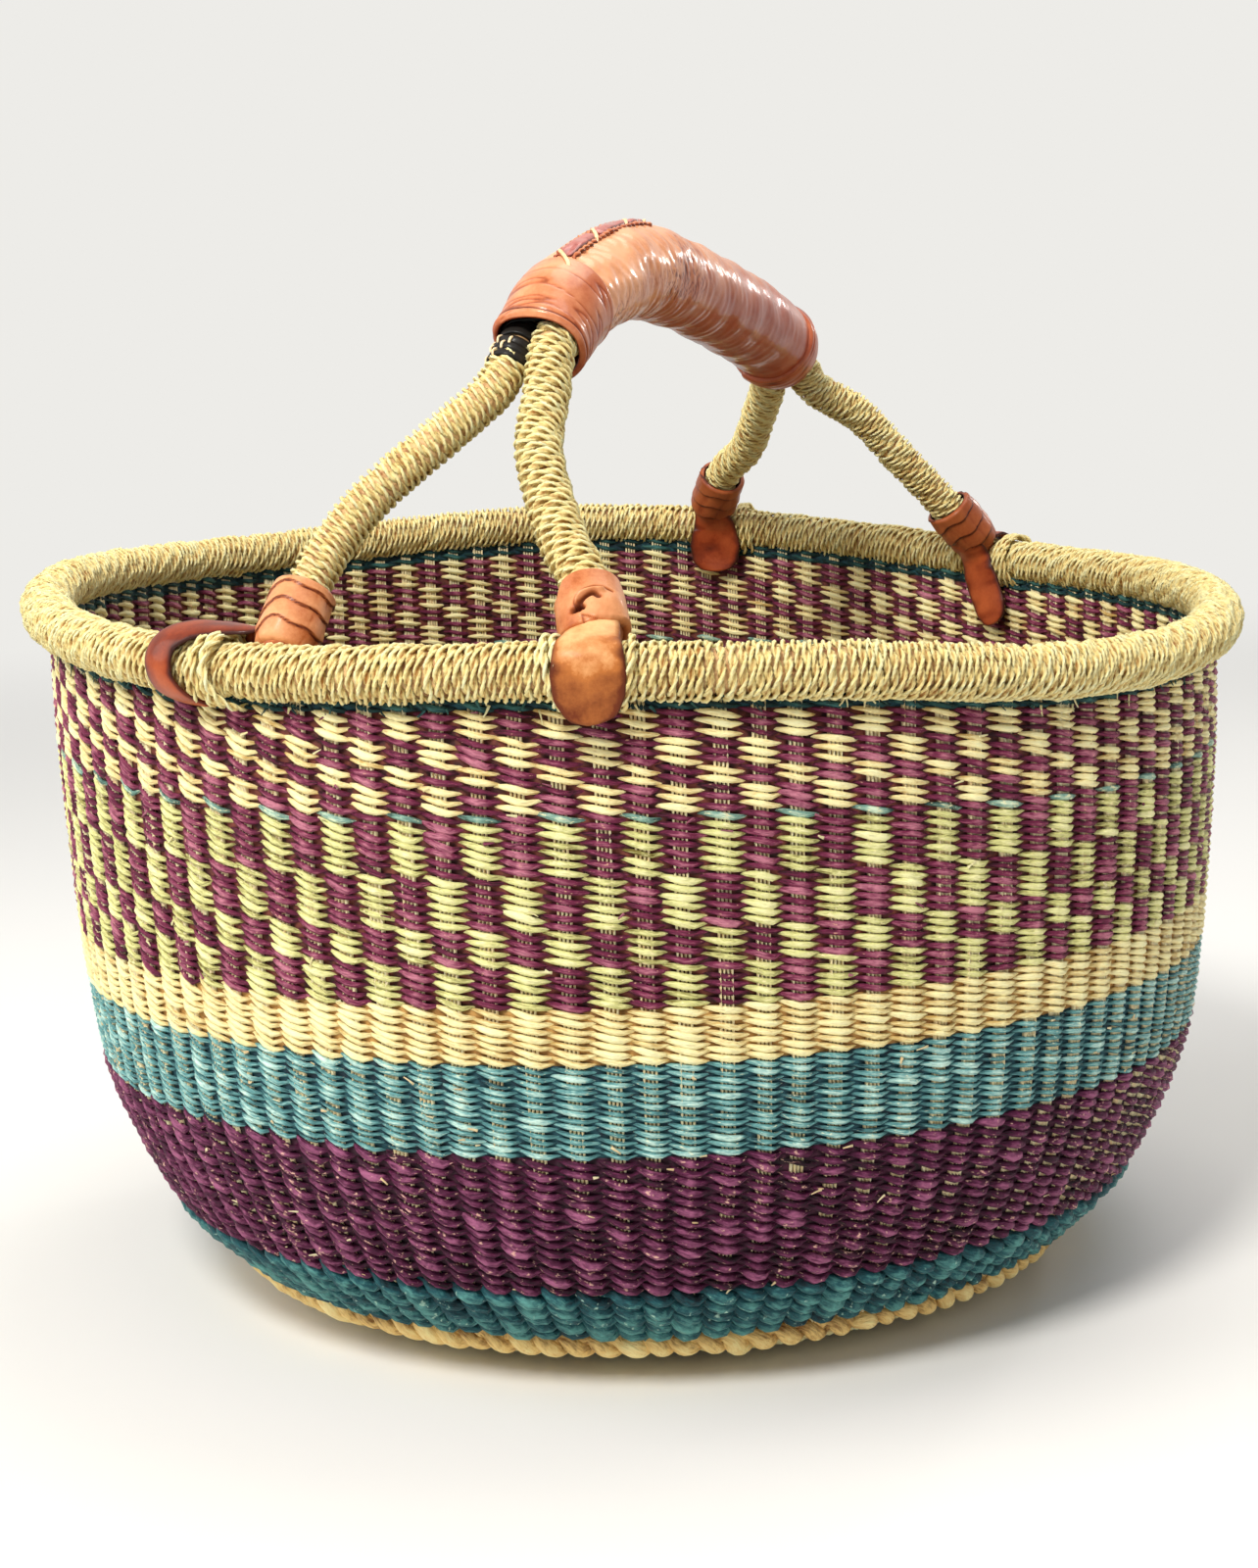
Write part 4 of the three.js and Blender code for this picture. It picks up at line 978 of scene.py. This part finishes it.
for number, sign in enumerate((-1, 1)):
    at = lacing["start"] + np.linspace(0, lacing["length"], 230)
    angle = lacing["tilt"] + sign * (lacing["half"] + 0.4 + 0.35 * np.sin(at * 1.9)) / 15.8
    path, out = onGrip(at, angle, 0.25 + 0.3 * np.sin(at * 1.9 + 1))
    addStrap(f"gripSeam{number}", "glossy", "dark_red_leather", ["grip_lacing"], path, out, 0.75, 0.6,
             151 + number, sides=8)
print("grip covered")


# feet: collar, straps and cord loops
swirl = {  # places on the front right collar in millimetres, to the right of its middle and down from its top
    "outer": [(-2.6, 15.7), (-2.6, 13.8), (-1.3, 11.2), (1.4, 9.8), (4.6, 9.8), (7.8, 11.3)],
    "inner": [(-1.5, 15.7), (-0.8, 14.2), (0.9, 12.8), (2.8, 12.4), (3.9, 13.7)],
    "roll": [(-2.0, 14.9), (-1.5, 12.9), (-0.1, 11.5), (2.4, 11.1), (4.8, 11.4)],
    "pocket": [(-3.6, 15.7), (-2.0, 16.2), (-0.8, 16.0)],
    "edge": [(-1.4, 18.5), (2.2, 21.0), (6.0, 21.4), (9.8, 20.5), (14, 19.2)],
    "flap": [(-30, 19.2), (-12, 19.2), (-7.7, 20.5), (-5.4, 21.2), (-2.0, 21.7), (2.2, 21.4), (4, 21.0)],
    "top": [(-30, 6.0), (-13, 6.0), (-9, 5.9), (-7, 3.7), (-5, 2.1), (-2, 1.6), (30, 1.5)],
}
collar = {"drop": 3.5, "past": 8.0, "radius": 9.7}


def along(x, points):
    # height at x of the line through a table of places
    return np.interp(x, *zip(*points))


def socket(past):
    # radius of the collar's hollow end, by the distance past the foot
    return along(past, [(-4, 8.6), (0, 8.5), (3.9, 7.2), (8.0, 5.6)])


def nearTo(x, y, name):
    # distance to a line in the swirl's table
    line = spline(swirl[name], 60)
    return np.hypot(x[..., None] - line[:, 0], y[..., None] - line[:, 1]).min(axis=-1)


def onCollar(at, around, start, facing):
    drift = np.angle(np.exp(1j * (around - facing)))
    return -drift * collar["radius"], at - start - collar["drop"]


def swirlSkin(at, around, start, facing):
    # a wrap whose right half laps over the left, with a roll of leather curling out of a pocket between them
    x, y = onCollar(at, around, start, facing)
    outer, inner, curl, pocket = (nearTo(x, y, name) for name in ("outer", "inner", "roll", "pocket"))
    lap = 1 / (1 + np.exp(-(along(x, swirl["edge"]) - y) / 0.16))
    under = (1 - lap) / (1 + np.exp(-(x + 1.6) / 0.4))
    bulge = 1.5 * np.exp(-(((x - 7.5) / 5.5) ** 2) - ((y - 14.5) / 5) ** 2)
    roll = 1.4 * bump(curl, 0, 0.8)
    lines = 1.0 * bump(outer, 0, 0.42) + 1.5 * bump(inner, 0, 0.6)
    hole = bump(pocket, 0, 0.8)
    soft = 0.2 * ripple(161, y * 0.35, np.cos(around) * 1.6, np.sin(around) * 1.6)
    radius = 10.3 + bulge + roll + soft - lines - 2.3 * hole - 0.7 * under
    # painted shade in the lines, the pocket and under the lapping edge
    crease = 0.8 * np.clip(lines, 0, 1) + hole + 0.5 * bump(under, 0.5, 0.3) * (x > -1.6)
    return radius, np.clip(crease, 0, 1), 0.5 - 0.3 * bump(x, -5, 3) + 0 * at


def lappedSkin(at, around, start, facing):
    # turns of a strap, each lapping over the one above it, with uneven edges
    x, y = onCollar(at, around, start, facing)
    lapped = (y + 3.4 * x / 30 + 1.1 * np.sin(x / 4 + 1) + 0.5 * np.sin(x / 1.7) + 1.5) / 6.8
    lap = lapped - np.floor(lapped)
    seam = bump(np.minimum(lap, 1 - lap), 0, 0.05)
    fine = creases(162, around * 3, at * 0.15, 2.0, 0.5, 0.12)
    soft = 0.32 * ripple(163, y * 0.35, np.cos(around) * 2.2, np.sin(around) * 2.2)
    down = at - start - handle["collarLength"]
    radius = np.minimum(9.5 + 0.65 * lap**0.7, socket(down) + 1.2 + 0.4 * lap)
    # painted shade along each seam where one turn laps the next; the wear value rises across each turn
    # towards its raised edge
    return radius + soft - 0.12 * fine, 0.9 * seam + 0.2 * fine, 0.25 + 0.45 * lap


def overRim(angle, around, lift, drop=0.0):
    # a place on the rim's tube, lifted off it; below the tube it hangs straight down by the drop
    angle, around, lift, drop = np.broadcast_arrays(angle, around, lift, drop)
    path = rimPoint(np.radians(angle), around, rim["tubeRadius"] + lift)
    path[..., 2] -= drop
    return path, rimPoint(np.radians(angle), around, 1.0) - rimPoint(np.radians(angle), around, 0.0)


def smoothStrap(path, out, count):
    # one curve through a strap's places and the way it faces at each
    both = spline(np.hstack([path, 12 * out]), count)
    return both[:, :3], unit(both[:, 3:])


def strapOver(line, length, held, facing, places):
    # a strap's line and the way it faces: down the collar's skin, then over places on the rim
    back, turned, radius = np.array(held, float).T
    centre, side, up, _ = sample(line, length - back)
    out = ray(side, up, facing + turned)
    path = centre + out * radius[:, None]
    angle, around, lift, drop, face = np.array(places, float).T
    rimPath, _ = overRim(angle, np.radians(around), lift, drop)
    _, rimOut = overRim(angle, np.radians(face), lift, drop)
    return smoothStrap(np.vstack([path, rimPath]), np.vstack([out, rimOut]), 90)


rearHeld = [(9, 0, 7.9), (6, 0, 8.2), (3, 0, 9.0)]
rearUnder = [(110, 1.6, 0), (80, 1.5, 0), (40, 1.5, 0), (0, 1.6, 0), (-28, 1.8, 3)]
rearLoops = [(-2.6, 1.2, 1.3), (-0.1, 0.2, 1.5), (2.4, -1.0, 1.3)]
# held: back from the foot, turn from the facing side, radius
# places: angle, round the tube, lift, drop, facing
# half: share of the length, half width
# under, at one angle: round the tube, lift, drop
# loops: shift round the rim, slant and lift of each strand
straps = {
    "front_right": {
        "finish": "tan", "held": [(9, 0, 7.3), (6, 0, 7.3), (3.0, 0, 7.4), (0, 0, 7.8), (-2.8, 0, 8.4)],
        "places": [
            (266.6, 74, 2.8, 0, 62), (266.6, 60, 2.9, 0, 52), (266.6, 35, 2.3, 0, 34), (266.6, 8, 2.1, 0, 10),
            (266.6, -17, 2.2, 0.5, -6), (266.7, -30, 2.4, 3.5, -8), (266.8, -34, 2.7, 7.2, -8),
        ],
        "half": [
            (0, 6.5), (0.2, 7.9), (0.4, 8.9), (0.55, 9.9), (0.72, 10.7), (0.86, 10.0), (0.95, 7.6), (1, 4.6),
        ],
        "angle": 266.8, "under": [(100, 1.6, 0), (135, 1.5, 0), (175, 1.6, 0), (205, 1.8, 3), (208, 2, 9)],
        "loops": [(3.6, -1.6, 1.0), (6.0, -1.4, 0.9), (24.6, 1.6, 1.0)],
    },
    "front_left": {
        "finish": "strap", "held": [(11, 1.1, 8.0), (7, 1.3, 8.8), (4, 1.5, 9.6)],
        "places": [
            (235.6, 112, 4.0, 0, 84), (233.2, 97, 3.2, 0, 74), (231.0, 76, 2.6, 0, 62),
            (229.6, 48, 2.1, 0, 45), (229.3, 15, 1.9, 0, 15), (229.7, -20, 1.9, 0, -20),
            (231.0, -52, 2.0, 0, -52), (232.8, -76, 2.2, 0, -76),
        ],
        "half": [(0, 4.0), (0.3, 5.0), (0.55, 6.3), (0.8, 5.6), (0.93, 3.6), (1, 1.4)],
        "angle": 229.8, "under": [(80, 1.5, 0), (120, 1.5, 0), (165, 1.6, 0), (200, 1.8, 3), (205, 2, 8)],
        "loops": [(-3.4, 1.4, 1.2), (-0.6, -0.6, 1.6), (2.2, 1.2, 1.3), (4.8, -2.6, 2.2)],
    },
    "rear_left": {
        "finish": "strap", "held": rearHeld, "angle": 79, "under": rearUnder, "loops": rearLoops,
        "places": [
            (79, 180, 3.6, 0, 200), (79, 198, 2.8, 1.5, 195), (79, 208, 3.0, 7, 188), (79, 208, 3.6, 13, 186),
        ],
        "half": [(0, 6.5), (0.3, 7.6), (0.7, 11.0), (0.88, 10.0), (0.96, 7.5), (1, 5.0)],
    },
    "rear_right": {
        "finish": "strap", "held": rearHeld, "angle": 43, "under": rearUnder, "loops": rearLoops,
        "places": [
            (42.9, 180, 3.6, 0, 200), (42.4, 198, 2.8, 2, 195), (41.2, 208, 3.0, 10, 188),
            (39.8, 208, 3.6, 19, 186),
        ],
        "half": [(0, 6.5), (0.3, 7.4), (0.6, 8.8), (0.85, 8.6), (0.95, 6.5), (1, 4.0)],
    },
}


def tieFoot(number, name, leg):
    # a collar round the leg's end, a tongue from it over the rim and a strap under the tongue
    line = legLine(leg)
    length = measure(line)
    line = evenly(np.vstack([line, line[-1] + collar["past"] * unit(line[-1] - line[-2])]), 400)
    start = length - handle["collarLength"]
    top = start + collar["drop"]
    radial = unit(footPlace(leg, 0) * [1, 1, 0])
    _, side, up, _ = sample(line, np.array([start + 10]))
    towards = radial if leg["end"] == 0 else -radial
    facing = np.arctan2(up[0] @ towards, side[0] @ towards)
    swirled = name == "front_right"
    skin = swirlSkin if swirled else lappedSkin
    leather = "collar" if leg["end"] == 0 else "rust"

    def collarTop(around):
        x, _ = onCollar(0, around, start, facing)
        return top + along(x, swirl["top"]) if swirled else top + 0.8 * np.sin(around)

    def collarBottom(around):
        x, _ = onCollar(0, around, start, facing)
        if not swirled:
            return length + 6.0 + 0 * around
        return top + np.where(x > 2.6, along(x, swirl["edge"]), along(x, swirl["flap"]))

    addSleeve(f"footCollar_{name}", leather, "tan_leather", [f"foot_collar_{name}"], line,
              (collarTop, collarBottom), lambda at, around: skin(at, around, start, facing),
              lambda at, around: socket(at - length) - 0.7, 90 if swirled else 50, 150 if swirled else 90)
    addSleeve(f"footSocket_{name}", leather, "tan_leather", [f"foot_collar_{name}"], line,
              (top + 6, length + collar["past"]),
              lambda at, around: (socket(at - length), 0.3 + 0 * at, 0.3 + 0 * at),
              lambda at, around: socket(at - length) - 0.8, 16, 48)
    strap = straps[name]
    path, out = strapOver(line, length, strap["held"], facing, strap["places"])
    t = np.linspace(0, 1, len(path))
    half = along(t, strap["half"])
    half[[0, -1]] *= 0.5
    half[[1, -2]] *= 0.82
    thick = 0.85 - 0.4 * (t == 0) - 0.4 * (t == 1)
    crown = 0.4 if name == "front_left" else along(t, [(0, 3.3), (0.3, 3.1), (0.5, 0.7), (1, 0.3)])
    addStrap(f"footTongue_{name}", strap["finish"], "tan_leather", [f"foot_saddle_{name}"], path, out,
             half, thick, 181 + number, crown=crown, lengthRamp=1.0 if swirled else 0.2)
    around, lift, drop = np.array(strap["under"], float).T
    path, out = smoothStrap(*overRim(strap["angle"], np.radians(around), lift, drop), 60)
    addStrap(f"footStrap_{name}", "strap", "tan_leather", [f"foot_saddle_{name}"], path, out, 6.2, 0.85,
             191 + number)


for number, (name, leg) in enumerate(feet.items()):
    tieFoot(number, name, leg)

# cord loops round the rim beside each strap
loopCord = {"half": 1.3, "twist": 11.0}
for number, (name, leg) in enumerate(feet.items()):
    for strand, (shift, slant, lift) in enumerate(straps[name]["loops"]):
        around = np.linspace(0, turn, 90)
        angle = leg["loop"] + np.degrees((shift + slant * np.cos(around + 1.2)) / rim["radius"])
        path, out = overRim(angle, around + 2.6, lift + 0.25 * np.sin(3 * around + strand))
        cordTube(f"footLoop{strand}_{name}", path, out, loopCord["half"], loopCord["twist"],
                 [f"foot_loop_{name}"], 201 + 4 * number + strand)
print("feet tied")


def addEnds(name, finish, slot, stands, seed, low, high, count, reach, hang, way):
    # loose straw ends leave the wall at a slant and curl away: depth grows as u^1.6, outwards or inwards
    dice = np.random.default_rng(seed)
    u = np.linspace(0, 1, 5)[None]
    angle = dice.uniform(0, turn, (count, 1))
    length = dice.uniform(lengthAt(low), lengthAt(high), (count, 1))
    size = reach * dice.uniform(0.4, 1.0, (count, 1))
    heading = dice.normal(0, 0.5, (count, 1)) + np.where(dice.random((count, 1)) < 0.5, 0, np.pi)
    bend = dice.normal(0, 0.5, (count, 1))
    across = size * (u * np.cos(heading) * (1 - hang) + 0.3 * bend * u**2)
    rise = size * (u * np.sin(heading) * (1 - hang) - hang * u)
    deep = (2.4 + size * dice.uniform(0.05, 0.25, (count, 1)) * u**1.6) * way
    radius = np.interp(length, wallLength, wallLine[:, 0])
    points, out = wallPoint(length + rise, angle + across / radius, deep)
    thin = dice.uniform(0.3, 0.6, (count, 1)) * (1 - 0.5 * u)
    mesh = tubes(points, out + [0, 0, 0.01], thin, thin * 0.6, circle(5))
    tint = np.repeat(dice.uniform(0.3, 1.0, count), 25)
    addMesh(name, *mesh, paints[finish], slot, stands, {"crest": 0.6 + 0.4 * tint, "shade": tint})


looseEnds = [  # piece, finish, slot and node, lower and upper place, count, reach, share that hangs, way
    ("Purple", "bare", "bare_straw", "purple", "tealLowerTop", "purpleTop", 90, 3.6, 0, 1),
    ("Teal", "bare", "bare_straw", "teal_upper", "purpleTop", "tealUpperTop", 60, 3.4, 0, 1),
    ("Lower", "darkTeal", "dark_teal_straw", "teal_lower", "tealLowerBottom", "tealLowerTop", 60, 4.5, 0, 1),
    ("Checks", "natural", "natural_straw", "checks_green", "naturalTop", "naturalChecksTop", 90, 3.8, 0, 1),
    ("Plum", "plum", "purple_straw", "checks_green", "naturalTop", "naturalChecksTop", 80, 3.8, 0, 1),
    ("Rim", "natural", "natural_straw", "teal_top", "naturalChecksTop", "wallTop", 70, 6.0, 0.75, 1),
    ("RimDark", "shadowTeal", "dark_teal_straw", "teal_top", "naturalChecksTop", "wallTop", 150, 5.5, 0.6, 1),
    ("Inside", "bare", "bare_straw", "checks_green", "foot", "naturalChecksTop", 160, 6.0, 0, -1),
]
for number, (name, finish, slot, node, *settings) in enumerate(looseEnds):
    addEnds(f"ends{name}", finish, slot, [f"weft_{node}"], 301 + number, *settings)
print("loose ends laid")


stage = {"width": 12.0, "front": -4.0, "back": 2.2, "sweep": 1.4, "top": 6.0, "tone": (0.93, 0.925, 0.91)}
sweep = np.linspace(0, np.pi / 2, 24)
profile = np.array(
    [(stage["front"], 0.0)]
    + [(stage["back"] + stage["sweep"] * np.sin(a), stage["sweep"] * (1 - np.cos(a))) for a in sweep]
    + [(stage["back"] + stage["sweep"], stage["top"])]
)
rows = np.arange(len(profile) - 1)
corners = [(side * stage["width"] / 2, *place) for side in (-1, 1) for place in profile.tolist()]
backdrop = bpy.data.objects.new("floor", bpy.data.meshes.new("floor"))
quads = np.stack([rows, rows + len(profile), rows + len(profile) + 1, rows + 1], axis=1)
backdrop.data.from_pydata(corners, [], quads.tolist())
backdrop.data.polygons.foreach_set("use_smooth", np.ones(len(quads), bool))
# lit paper near the basket, plain white paper behind it
paper = Paint("floor_paper")
lit = paper.node("ShaderNodeBsdfPrincipled", {}, {"Base Color": tone(*stage["tone"]), "Roughness": 0.8})
shown = paper.node("ShaderNodeEmission", {}, {"Color": tone(*stage["tone"]), "Strength": 1.0})
seen, glossy, through = (
    paper.node("ShaderNodeLightPath", output=f"Is {kind} Ray")
    for kind in ("Camera", "Glossy", "Transmission")
)
place = paper.node("ShaderNodeTexCoord", output="Object")
far = paper.node("ShaderNodeSeparateXYZ", {}, {"Vector": place}, "Y")
blend = paper.span(far, 0.3, 2.4) * (seen + glossy + through)
surface = paper.node("ShaderNodeMixShader", {}, {0: blend, 1: lit, 2: shown})
paper.node("ShaderNodeOutputMaterial", {}, {"Surface": surface})
backdrop.data.materials.append(paper.material)
bpy.context.scene.collection.objects.link(backdrop)


def areaLamp(name, place, target, size, power, colour):
    lamp = bpy.data.lights.new(name, "AREA")
    lamp.shape, lamp.size, lamp.energy, lamp.color = "DISK", size, power, colour
    holder = bpy.data.objects.new(name, lamp)
    direction = np.array(target) - np.array(place)
    holder.rotation_euler = Vector(direction).to_track_quat("-Z", "Y").to_euler()
    holder.location = place
    bpy.context.scene.collection.objects.link(holder)


areaLamp("keyLamp", (-0.5, -1.25, 1.55), (0, 0, 0.15), 0.5, 29, (1.0, 0.97, 0.92))
areaLamp("fillLamp", (-1.7, -0.3, 1.2), (0, 0, 0.15), 1.5, 16, (1.0, 0.99, 0.96))
areaLamp("windowLamp", (1.15, 1.3, 0.8), (0, 0, 0.3), 0.22, 3, (1.0, 0.98, 0.95))
areaLamp("topLamp", (0.5, 0.4, 1.9), (0, 0, 0.1), 1.4, 15, (1.0, 0.98, 0.95))
world = bpy.data.worlds.new("studio")
bpy.context.scene.world = world
world.use_nodes = True
world.node_tree.nodes["Background"].inputs["Color"].default_value = (0.95, 0.96, 1.0, 1)
world.node_tree.nodes["Background"].inputs["Strength"].default_value = 0.42

# camera: fitted to the rim and foot in the photograph
cameraFit = {"place": (0.0, -0.882, 0.302), "pitch": 0.152, "roll": -0.037, "yaw": -0.004, "lens": 56.25}
camera = bpy.data.objects.new("camera", bpy.data.cameras.new("camera"))
camera.data.lens = cameraFit["lens"]
camera.data.sensor_width = 36
camera.data.sensor_fit = "AUTO"
pitch, roll, yaw = cameraFit["pitch"], cameraFit["roll"], cameraFit["yaw"]
look = np.array([np.sin(yaw) * np.cos(pitch), np.cos(yaw) * np.cos(pitch), -np.sin(pitch)])
level = np.array([np.cos(yaw), -np.sin(yaw), 0.0])
rise = np.cross(level, look)
right = np.cos(roll) * level + np.sin(roll) * rise
upright = -np.sin(roll) * level + np.cos(roll) * rise
axes = [[right[k], upright[k], -look[k], cameraFit["place"][k]] for k in range(3)]
camera.matrix_world = Matrix(axes + [[0, 0, 0, 1]])
bpy.context.scene.collection.objects.link(camera)
bpy.context.scene.camera = camera
bpy.context.scene.view_settings.view_transform = "Standard"
print("stage and camera set")
